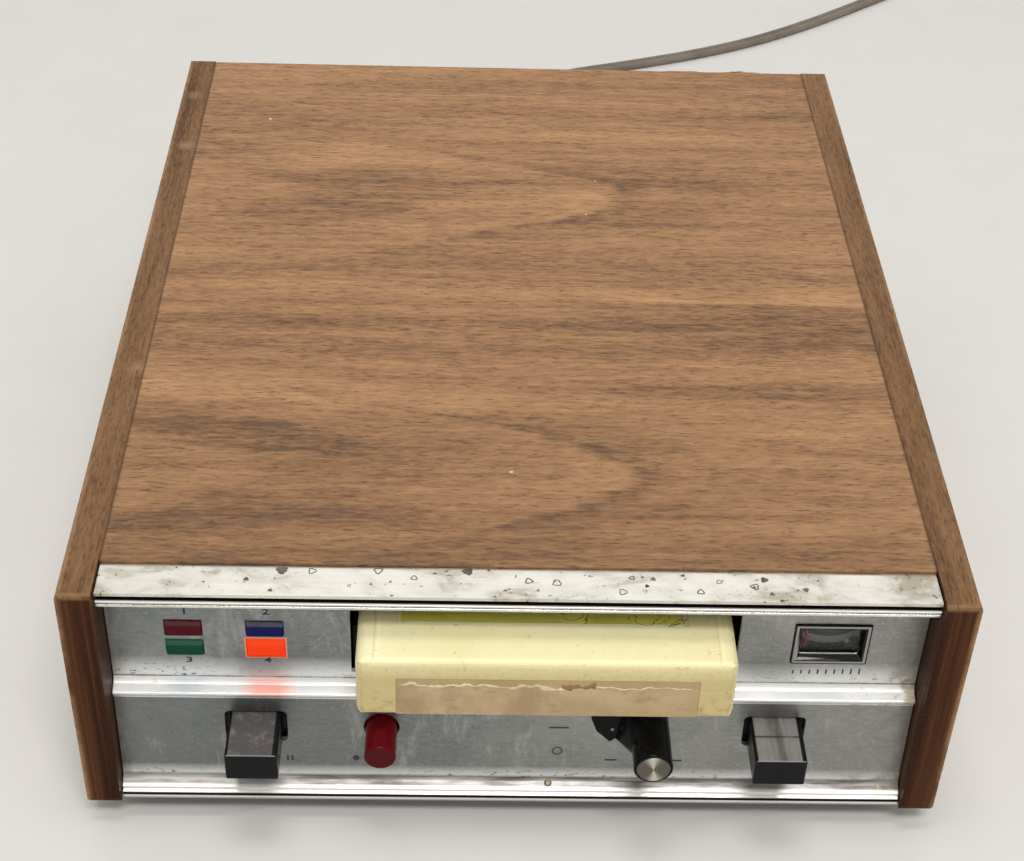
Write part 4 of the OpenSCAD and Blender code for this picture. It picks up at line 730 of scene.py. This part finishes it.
printed_bars("level_ticks", 85.4, 54.0, *[(2.3 * (k - 4), 0.05 * k, 0.45, 1.3 + 0.1 * k)
                                          for k in range(9)])
printed_bars("play_all_mark", 12.4, 34.2, (0, 0, 5.6, 0.55))
printed_bars("dial_marks", 37.2, 21.9, (-9.6, 0, 3.4, 0.5), (9.2, 0, 3.0, 0.5))
printed_bars("program_mark", -63.0, 21.4, (-0.9, 0, 0.6, 2.0), (0.4, 0, 0.6, 2.0))
for name, x, z, r, ring in (("record_mark", -44.6, 21.7, 1.0, 0), ("repeat_mark", 12.2, 25.2, 1.5, 0.4)):
    shell = bmesh.new()
    bmesh.ops.create_circle(shell, cap_ends=True, segments=28, radius=r)
    if ring:
        inner = list(shell.faces)
        bmesh.ops.inset_individual(shell, faces=inner, thickness=ring)
        bmesh.ops.delete(shell, geom=inner, context="FACES")
    lay_print(shell, x, z)
    put_at(shell)
    new_piece(name, shell, ink, smooth=False)

rivet_steel = mottled("rivet_steel", (0.36, 0.30, 0.22), (0.16, 0.12, 0.08), 0.45, 1.0, 900)
rivet = bmesh.new()
bmesh.ops.create_uvsphere(rivet, u_segments=20, v_segments=12, radius=1.2)
bmesh.ops.transform(rivet, verts=rivet.verts, matrix=Matrix.Translation((10, -135.0, 13.5))
                    @ Matrix.Rotation(radians(35), 4, "X") @ Matrix.Scale(0.4, 4, (0, 0, 1)))
put_at(rivet)
new_piece("ledge_rivet", rivet, rivet_steel)

# ---- program windows, lamps and their housing
# Four coloured plastic lenses pressed into the panel, one lit from behind and glowing by its own
# emission as painted light. Their upper thirds carry a painted pale reflection. Four small lamps
# stand behind them in a black housing.


def lens_finish(node, deep, pale, glow=0.0):
    lens = finish(node + "_plastic", 0.3, IOR=1.2)
    low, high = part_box(node)
    z = parts(lens)[2]
    upper = step(lens, z, low.z + 0.60 * (high.z - low.z), low.z + 0.68 * (high.z - low.z))
    streaks = noise(lens, place(lens, (500, 500, 2400)), 1, 3, 0.6)
    crumbs = noise(lens, place(lens), 1600, 2, 0.6)
    body = mix(lens, streaks, deep, tuple(0.72 * c for c in deep))
    body = mix(lens, times(lens, upper, step(lens, streaks, 0.2, 0.7, 0.35, 1.0)), body, pale)
    dust = times(lens, upper, step(lens, crumbs, 0.56, 0.64))
    body = mix(lens, times(lens, dust, 0.5), body, (0.10, 0.07, 0.05))
    colour(lens, body)
    roughness(lens, streaks, 0.22, 0.42, 0.2, 0.8)
    relief(lens, streaks, 0.00004, 0.4)
    # Painted light: the lit lens glows by its own emission, in place of the lamp behind it.
    if glow:
        feed(lens, "Emission Color", body)
        surface(lens)["Emission Strength"].default_value = glow
    dress(lens, node)


lens_finish("program_window_1", (0.082, 0.001, 0.008), (0.125, 0.035, 0.042))
lens_finish("program_window_2", (0.005, 0.006, 0.095), (0.11, 0.115, 0.145))
lens_finish("program_window_3", (0.001, 0.060, 0.032), (0.033, 0.120, 0.078))
lens_finish("program_window_4", (0.74, 0.036, 0.004), (0.68, 0.046, 0.008), 0.56)
dress(mottled("matt_black_moulding", (0.034, 0.033, 0.032), (0.014, 0.014, 0.014), 0.55, grain=700),
      "lamp_housing", "head_carriage", "fuse_holder")
glass = finish("lamp_glass", 0.06, Transmission_Weight=0.85, IOR=1.45)
cloud = noise(glass, place(glass), 700, 3)
colour(glass, mix(glass, cloud, (1.0, 0.90, 0.70), (0.95, 0.95, 0.92)))
roughness(glass, cloud, 0.03, 0.14)
dress(glass, "program_lamps")

# ---- signal meter
# A black case flush in the panel with a frame streaked by painted glints, a clear window, a bowed grey
# scale and a red needle. Two small screws hold the movement, coloured near white as painted glints.


def painted(material):
    """The colour that the material has so far."""
    return surface(material)["Base Color"].links[0].from_socket


casing = mottled("meter_case_black", (0.009, 0.009, 0.009), (0.005, 0.005, 0.005), 0.3, grain=900,
                 IOR=1.3)
x, y, z = parts(casing)
inward = calc(casing, "MINIMUM",
              less(casing, 0.0104, away(casing, x, 0.0854)),
              less(casing, 0.0073, away(casing, z, 0.0650)))
band = close_to(casing, inward, 0.00070, 0.00042)
band = times(casing, step(casing, band, 0.0, 0.3), step(casing, normals(casing)[1], -0.5, -0.8))
colour(casing, mix(casing, band, painted(casing), (0.34, 0.34, 0.33)))
feed(casing, "Metallic", band)
dress(casing, "meter_case")
# Painted glints: bright streaks on the black frame.
bezel = finish("meter_frame_metal", 0.2, 0.8)
glints = noise(bezel, place(bezel, (28, 1000, 28)), 1, 2, 0.5, 0.2)
colour(bezel, mix(bezel, step(bezel, glints, 0.55, 0.70), (0.018, 0.018, 0.018), (0.46, 0.45, 0.44)))
roughness(bezel, glints, 0.14, 0.30)
relief(bezel, glints, 0.00004, 0.4)
dress(bezel, "meter_bezel")
clear = finish("meter_window_clear", 0.03, Transmission_Weight=1.0, IOR=1.3)
haze = noise(clear, place(clear), 500, 4, 0.6)
colour(clear, mix(clear, haze, (1, 1, 1), (0.93, 0.94, 0.93)))
roughness(clear, haze, 0.01, 0.12, 0.55, 0.8)
dress(clear, "meter_window")
card = mottled("scale_card_grey", (0.26, 0.26, 0.27), (0.20, 0.20, 0.21), 0.5, grain=500)
low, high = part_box("meter_scale")
colour(card, mix(card, step(card, parts(card)[2], low.z + 0.0024, low.z + 0.0027), painted(card),
                 (0.012, 0.012, 0.013)))
dress(card, "meter_scale")
dress(mottled("needle_red", (0.72, 0.035, 0.03), (0.5, 0.02, 0.02), 0.35, grain=900),
      "meter_needle")
middle = Vector(((low.x + high.x) / 2, -0.1116, 0)) / mm
ticks = bmesh.new()
for k in range(11):
    a = radians(-38 + 7.6 * k)
    made = bmesh.ops.create_cube(ticks, size=1)["verts"]
    tall = 2.4 if k % 5 == 0 else 1.4
    bmesh.ops.scale(ticks, verts=made, vec=(0.22, 0.08, tall))
    bmesh.ops.transform(ticks, verts=made,
                        matrix=Matrix.Translation((middle.x, middle.y, high.z / mm - 2.0))
                        @ Matrix.Rotation(a, 4, "Z")
                        @ Matrix.Translation((0, -(middle.y - low.y / mm) - 0.02, 0)))
put_at(ticks)
new_piece("scale_ticks", ticks, ink, smooth=False)
screws = bmesh.new()
for x in (78.2, 91.6):
    made = bmesh.ops.create_uvsphere(screws, u_segments=16, v_segments=10, radius=0.8)["verts"]
    bmesh.ops.scale(screws, verts=made, vec=(1, 0.5, 1))
    bmesh.ops.translate(screws, verts=made, vec=(x, -121.6, 59.0))
put_at(screws)
# The screws are coloured near white and barely metal, as painted glints in the window.
movement_screws = mottled("movement_screws", (0.90, 0.89, 0.86), (0.7, 0.69, 0.66), 0.25, 0.2, 900)
new_piece("movement_screws", screws, movement_screws)

# ---- push buttons
# Black moulded caps with worn, dusty tops that also carry painted light and reflections, and a red
# one that turns the recorder on. Each runs in a steel bracket against a spring.
keys = finish("button_black", 0.2, IOR=1.22)
x, y, z = parts(keys)
film = noise(keys, place(keys, (300, 120, 300)), 1, 4, 0.65)
smear = noise(keys, place(keys), 260, 4, 0.6, 0.6)
facing = normals(keys)
faces_up = step(keys, facing[2], 0.6, 0.9)
aside = size(keys, less(keys, size(keys, x), 0.0725))
inset = times(keys, faces_up, step(keys, aside, 0.0062, 0.0059))
# Painted light: the eject's top, on the right, is coloured lighter than the program button's.
on_right = step(keys, x, -0.01, 0.01)
worn = mix(keys, on_right, (0.085, 0.082, 0.081), (0.21, 0.207, 0.20))
# Painted reflection: darker streaks across the eject's top.
stripes = noise(keys, place(keys, (420, 25, 25)), 1, 2, 0.6)
worn = mix(keys, times(keys, on_right, step(keys, stripes, 0.42, 0.62)),
           worn, (0.10, 0.098, 0.095))
# Painted reflection: a dark line across the eject's top where the reflected panel ends.
reflection_end_line = times(keys, on_right, close_to(keys, y, -0.1390, 0.0006))
worn = mix(keys, reflection_end_line, worn, (0.02, 0.02, 0.02))
smudges = step(keys, smear, 0.50, 0.66, 0.0, 0.75)
worn = mix(keys, smudges, worn, (0.195, 0.165, 0.140))
body = mix(keys, inset, (0.005, 0.005, 0.006), worn)
# Painted highlight: a grey line along the caps' front edges.
front_line = times(keys, close_to(keys, facing[2], 0.70, 0.28), step(keys, facing[1], -0.3, -0.5))
body = mix(keys, front_line, body, (0.30, 0.30, 0.30))
colour(keys, body)
film_gloss = step(keys, film, 0.3, 0.7, 0.16, 0.30)
feed(keys, "Roughness", calc(keys, "ADD", film_gloss, times(keys, faces_up, 0.16)))
relief(keys, film, 0.00003, 0.4)
dress(keys, "program_button", "eject_button")
red = mottled("record_red", (0.150, 0.001, 0.006), (0.108, 0.001, 0.004), 0.16, grain=300, IOR=1.22)
# Painted shade: the red cap's front end is coloured darker.
colour(red, mix(red, step(red, normals(red)[1], -0.6, -0.95), painted(red), (0.070, 0.0, 0.002)))
dress(red, "record_button")
dress(mottled("spring_steel", (0.42, 0.41, 0.39), (0.27, 0.26, 0.24), 0.3, 1.0, 700),
      "button_springs")

# ---- function knob
# A black glossy knob with a pointer wing and a spun aluminium cap, on a steel shaft.
knob = finish("knob_black", 0.14, IOR=1.19)
scuffs = noise(knob, place(knob), 240, 4, 0.65, 0.4)
colour(knob, mix(knob, step(knob, scuffs, 0.5, 0.8), (0.002, 0.002, 0.0025), (0.008, 0.0075, 0.007)))
roughness(knob, scuffs, 0.09, 0.30, 0.35, 0.75)
relief(knob, scuffs, 0.00004, 0.3)
dress(knob, "function_knob")
low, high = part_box("function_knob_cap")
cap_middle = (low + high) / 2
spun = finish("spun_cap", 0.24, 1.0, Anisotropic=0.75)
centred = place(spun, at=tuple(-cap_middle))
turned = put(spun, "TexWave", {"Vector": centred, "Scale": 900.0, "Distortion": 1.5, "Detail": 2.0},
             wave_type="RINGS", rings_direction="Y").outputs["Fac"]
# Painted highlight: a bow-tie glint up and down the spun cap.
across, deep, up = parts(spun, centred)
angle = calc(spun, "ARCTAN2", up, across)
glint = calc(spun, "POWER", size(spun, calc(spun, "SINE", less(spun, angle, 0.12))), 12.0)
body = mix(spun, turned, (0.09, 0.083, 0.066), (0.19, 0.175, 0.14))
colour(spun, mix(spun, times(spun, glint, 0.7), body, (0.85, 0.81, 0.70)))
roughness(spun, turned, 0.20, 0.32, 0, 1)
relief(spun, turned, 0.00003, 0.5)
dress(spun, "function_knob_cap", "function_shaft")
dot_paint = mottled("pointer_dot", (0.30, 0.29, 0.27), (0.18, 0.17, 0.16), 0.5, grain=900)
dot = bmesh.new()
bmesh.ops.create_uvsphere(dot, u_segments=14, v_segments=8, radius=0.55)
bmesh.ops.scale(dot, verts=dot.verts, vec=(1, 0.3, 1))
bmesh.ops.translate(dot, verts=dot.verts, vec=(27.1, -135.4, 36.7))
put_at(dot)
new_piece("pointer_dot", dot, dot_paint, body="function_dial")

# ---- cartridge
# Two halves of yellowed cream plastic with an olive paper label on top and a creased, stained one
# across the front, torn along its upper edge. Inside lie the reel of tape and the rubber roller.
cream = finish("cartridge_cream", 0.42, IOR=1.42)
x, y, z = parts(cream)
age = noise(cream, place(cream), 35, 4, 0.6, 0.3)
soilt = noise(cream, place(cream), 330, 4, 0.65, 0.3)
body = mix(cream, step(cream, age, 0.35, 0.65), (0.86, 0.79, 0.455), (0.93, 0.87, 0.54))
# Painted shade: the front faces are coloured a darker tan, more so lower down, blotched by the soil
# noise.
frontward_shade = step(cream, normals(cream)[1], -0.45, -0.9)
blotchy = total(cream, (z, 90.0), (soilt, 0.8))
body = mix(cream, times(cream, frontward_shade, step(cream, blotchy, 6.75, 6.35, 0.45, 0.88)), body,
           (0.54, 0.425, 0.180))
# Painted shade and highlight: a dark line along each raised bead on the top and a pale line beside it.
for at in (-0.0385, 0.0531):
    rail = times(cream, close_to(cream, x, at, 0.00045), step(cream, normals(cream)[2], 0.7, 0.9))
    body = mix(cream, times(cream, rail, 0.35), body, (0.50, 0.43, 0.20))
    rail = times(cream, close_to(cream, x, at + 0.0011, 0.0005), step(cream, normals(cream)[2], 0.7, 0.9))
    body = mix(cream, times(cream, rail, 0.5), body, (1.0, 0.97, 0.72))
# Dirt that grows lower down, with a little painted shade from the front faces.
low_down = step(cream, z, 0.062, 0.053, 0.0, 0.10)
dirt_and_shade = total(cream, (soilt, 1.0), (low_down, 1.0), (frontward_shade, 0.04))
body = over(cream, body, (0.36, 0.24, 0.10), dirt_and_shade, 0.62, 0.80, 0.75)
colour(cream, body)
roughness(cream, soilt, 0.34, 0.55)
relief(cream, soilt, 0.00006, 0.35)
dress(cream, "cartridge_top_shell", "cartridge_bottom_shell")

olive = finish("top_label_olive", 0.5)
wrinkle = noise(olive, place(olive), 60, 4, 0.6, 0.8)
cracks = noise(olive, place(olive), 75, 3, 0.65, 1.2)
split = times(olive, close_to(olive, cracks, 0.5, 0.014), step(olive, wrinkle, 0.53, 0.57))
body = mix(olive, step(olive, wrinkle, 0.3, 0.7), (0.70, 0.655, 0.11), (0.88, 0.84, 0.19))
x, y, z = parts(olive)
low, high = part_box("cartridge_top_label")
margin = calc(olive, "MINIMUM", less(olive, x, low.x), less(olive, high.x, x))
margin = calc(olive, "MINIMUM", margin, less(olive, y, low.y))
body = over(olive, body, (0.95, 0.93, 0.62), margin, 0.0010, 0.0007)
colour(olive, mix(olive, split, body, (0.12, 0.105, 0.04)))
roughness(olive, wrinkle, 0.38, 0.6)
relief(olive, cracks, 0.00008, 0.4)
dress(olive, "cartridge_top_label")

paper = finish("front_label_tan", 0.5)
x, y, z = parts(paper)
aged = noise(paper, place(paper), 45, 5, 0.6, 0.4)
fold = noise(paper, place(paper, (1, 1, 3.0)), 110, 5, 0.7, 1.2)
body = mix(paper, step(paper, aged, 0.40, 0.60), (0.36, 0.245, 0.125), (0.55, 0.405, 0.235))
body = over(paper, body, (0.47, 0.35, 0.17), x, 0.010, 0.035, 0.45)
stains = noise(paper, place(paper, (1, 1, 1.4)), 190, 4, 0.65, 0.5)
body = over(paper, body, (0.30, 0.19, 0.085), stains, 0.56, 0.70, 0.55)
creases = times(paper, close_to(paper, fold, 0.5, 0.014), step(paper, aged, 0.44, 0.60))
body = mix(paper, times(paper, creases, 0.7), body, (0.30, 0.19, 0.09))
colour(paper, over(paper, body, (0.40, 0.29, 0.12), z, 0.0628, 0.0640, 0.55))
roughness(paper, aged, 0.35, 0.6)
relief(paper, fold, 0.00008, 0.35)
dress(paper, "cartridge_front_label")

flaked = mottled("torn_label_paper", (0.78, 0.69, 0.46), (0.52, 0.39, 0.21), 0.75, grain=400)
brown_patch = mottled("bared_glue", (0.27, 0.155, 0.058), (0.18, 0.10, 0.037), 0.6, grain=400)


def torn_strip(name, x0, x1, z, tall, rag, material):
    """A ragged ribbon of paper that stands a little off the label."""
    shell = bmesh.new()
    count = int((x1 - x0) / 0.5)
    made = bmesh.ops.create_grid(shell, x_segments=count, y_segments=3, size=0.5)["verts"]
    for v in made:
        x = x0 + (v.co.x + 0.5) * (x1 - x0)
        edge = 2 * abs(v.co.y)
        wide = tall * (1 + 0.45 * sin(0.9 * x + 2) + 0.3 * sin(2.9 * x))
        swing = sin(1.7 * x) * 0.45 + sin(4.3 * x + 1) * 0.3 + sin(0.6 * x) * 0.5
        drift = 0.35 * sin(0.37 * x) + 0.2 * sin(1.3 * x + 0.5)
        v.co = (x, -145.24 - 0.22 * (1 - edge) * (1 + 0.5 * sin(2.3 * x)),
                z + drift + v.co.y * wide + rag * swing * edge)
    bmesh.ops.recalc_face_normals(shell, faces=shell.faces)
    bmesh.ops.solidify(shell, geom=shell.faces, thickness=0.06)
    put_at(shell)
    new_piece(name, shell, material, body="cartridge")


torn_strip("torn_label_left", -31.8, -3.5, 63.9, 0.75, 0.40, flaked)
torn_strip("torn_label_middle", -3.2, 8.5, 63.6, 0.9, 0.45, flaked)
torn_strip("torn_label_curl", 5.5, 12.0, 63.0, 1.3, 0.5, flaked)
torn_strip("torn_label_right", 20, 46, 63.6, 0.4, 0.2, flaked)
torn_strip("bared_patch", 11.5, 20.5, 64.0, 1.6, 0.35, brown_patch)

tape = finish("wound_tape_brown", 0.3)
low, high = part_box("cartridge_reel")
wound = put(tape, "TexWave", {"Vector": place(tape, at=tuple(-(low + high) / 2)), "Scale": 420.0,
                              "Distortion": 0.4}, wave_type="RINGS",
            rings_direction="Z").outputs["Fac"]
colour(tape, mix(tape, wound, (0.055, 0.028, 0.018), (0.10, 0.052, 0.032)))
roughness(tape, wound, 0.22, 0.42, 0, 1)
relief(tape, wound, 0.00005, 0.5)
dress(tape, "cartridge_reel")

# ---- tape drive and head
# Ground steel, bronze, a cast flywheel turned bright, rubber belt and roller, and the head's lift
# with its ivory ratchet wheel and solenoid.
dress(mottled("ground_steel_bright", (0.66, 0.65, 0.63), (0.52, 0.51, 0.49), 0.18, 1.0, 500),
      "capstan", "tape_head", "solenoid_plunger", "phono_sockets")
bronze = mottled("oiled_bronze", (0.56, 0.37, 0.17), (0.36, 0.22, 0.09), 0.35, 1.0, 900)
dress(bronze, "capstan_bearing", "motor_pulley")
dress(mottled("rubber_black", (0.035, 0.034, 0.033), (0.018, 0.018, 0.018), 0.72, grain=800,
              depth=0.0001),
      "drive_belt", "pinch_roller", "rubber_feet")
low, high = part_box("flywheel")
cast = finish("flywheel_cast", 0.3, 1.0)
lathe = put(cast, "TexWave", {"Vector": place(cast, at=tuple(-(low + high) / 2)), "Scale": 500.0,
                              "Distortion": 0.8}, wave_type="RINGS", rings_direction="Z").outputs["Fac"]
colour(cast, mix(cast, lathe, (0.40, 0.39, 0.37), (0.55, 0.54, 0.52)))
roughness(cast, lathe, 0.22, 0.38, 0, 1)
relief(cast, lathe, 0.00004, 0.5)
dress(cast, "flywheel")
dress(mottled("ratchet_ivory", (0.74, 0.70, 0.56), (0.62, 0.57, 0.42), 0.38, grain=400), "head_cam")
winding = finish("copper_winding", 0.28, 0.6)
layers = put(winding, "TexWave", {"Vector": place(winding), "Scale": 700.0, "Distortion": 0.6},
             wave_type="BANDS", bands_direction="X").outputs["Fac"]
colour(winding, mix(winding, layers, (0.30, 0.10, 0.03), (0.62, 0.26, 0.10)))
roughness(winding, layers, 0.22, 0.40, 0, 1)
relief(winding, layers, 0.0001, 0.6)
dress(winding, "solenoid")

# ---- chassis
# Zinc plated sheet: deck, brackets, motor can and the base plate under the case. The back is a
# painted sheet. Cleats of plain pine hold the base's screws.
zinc = finish("zinc_plate", 0.34, 1.0)
spangle = put(zinc, "TexVoronoi", {"Vector": place(zinc), "Scale": 150.0}).outputs["Color"]
tint = noise(zinc, place(zinc), 45, 4, 0.6, 0.4)
body = mix(zinc, tint, (0.52, 0.51, 0.47), (0.68, 0.68, 0.65))
body = mix(zinc, 0.10, body, spangle, "OVERLAY")
rust = noise(zinc, place(zinc), 120, 5, 0.7)
body = over(zinc, body, (0.22, 0.12, 0.06), rust, 0.66, 0.76, 0.7)
# Painted shade: the zinc is coloured near black towards the front, in the slot and round the buttons.
front_zinc_shade = step(zinc, parts(zinc)[1], -0.100, -0.106)
colour(zinc, mix(zinc, front_zinc_shade, body, (0.012, 0.012, 0.012)))
roughness(zinc, tint, 0.28, 0.48)
relief(zinc, rust, 0.00005, 0.4)
dress(zinc, "deck_plate", "left_button_bracket", "right_button_bracket", "thrust_bracket", "motor",
      "base_plate", "case_screws")
pine = finish("pine_cleats", 0.65)
years = put(pine, "TexWave", {"Vector": place(pine, (1, 0.05, 1)), "Scale": 90.0, "Distortion": 5.0,
                              "Detail": 3.0},
            wave_type="BANDS", bands_direction="Z").outputs["Fac"]
colour(pine, mix(pine, years, (0.62, 0.43, 0.24), (0.74, 0.57, 0.36)))
roughness(pine, years, 0.55, 0.75, 0, 1)
relief(pine, years, 0.0001, 0.4)
dress(pine, "wood_cleats")
dress(mottled("back_paint", (0.052, 0.050, 0.047), (0.030, 0.029, 0.028), 0.5, grain=700, depth=0.0001),
      "rear_panel")

# ---- electrics
# Brown laminate board with copper side and dipped parts, the switch wafer, the head's sensor and
# the transformer's stack of plates.
laminate = finish("laminate_brown", 0.4)
weave = noise(laminate, place(laminate, (900, 90, 900)), 1, 3, 0.6)
lands = noise(laminate, place(laminate), 110, 3, 0.5)
body = mix(laminate, weave, (0.30, 0.155, 0.06), (0.40, 0.22, 0.09))
under = step(laminate, normals(laminate)[2], -0.7, -0.9)
lands = times(laminate, under, step(laminate, lands, 0.47, 0.50))
colour(laminate, mix(laminate, lands, body, (0.60, 0.33, 0.15)))
roughness(laminate, weave, 0.32, 0.5)
relief(laminate, weave, 0.00004, 0.4)
dress(laminate, "circuit_board", "function_switch", "splice_sensor")
sleeves = finish("part_sleeves", 0.32)
kind = put(sleeves, "TexVoronoi", {"Vector": place(sleeves, (60, 60, 20)), "Scale": 1.0}).outputs["Color"]
rub = noise(sleeves, place(sleeves), 400, 3)
hue = parts(sleeves, kind)[0]
body = ramp(sleeves, hue, (0.0, (0.03, 0.05, 0.16)), (0.35, (0.05, 0.045, 0.04)),
            (0.65, (0.30, 0.13, 0.05)),
            (1.0, (0.45, 0.40, 0.26)))
colour(sleeves, over(sleeves, body, (0.5, 0.5, 0.48), rub, 0.3, 0.8, 0.3))
roughness(sleeves, rub, 0.25, 0.45)
relief(sleeves, rub, 0.00003, 0.3)
dress(sleeves, "board_parts")
core = finish("transformer_plates", 0.45, 0.6)
stack = put(core, "TexWave", {"Vector": place(core), "Scale": 500.0, "Distortion": 0.3},
            wave_type="BANDS", bands_direction="Z").outputs["Fac"]
colour(core, mix(core, stack, (0.045, 0.043, 0.045), (0.16, 0.15, 0.15)))
roughness(core, stack, 0.35, 0.6, 0, 1)
relief(core, stack, 0.0001, 0.5)
dress(core, "transformer")
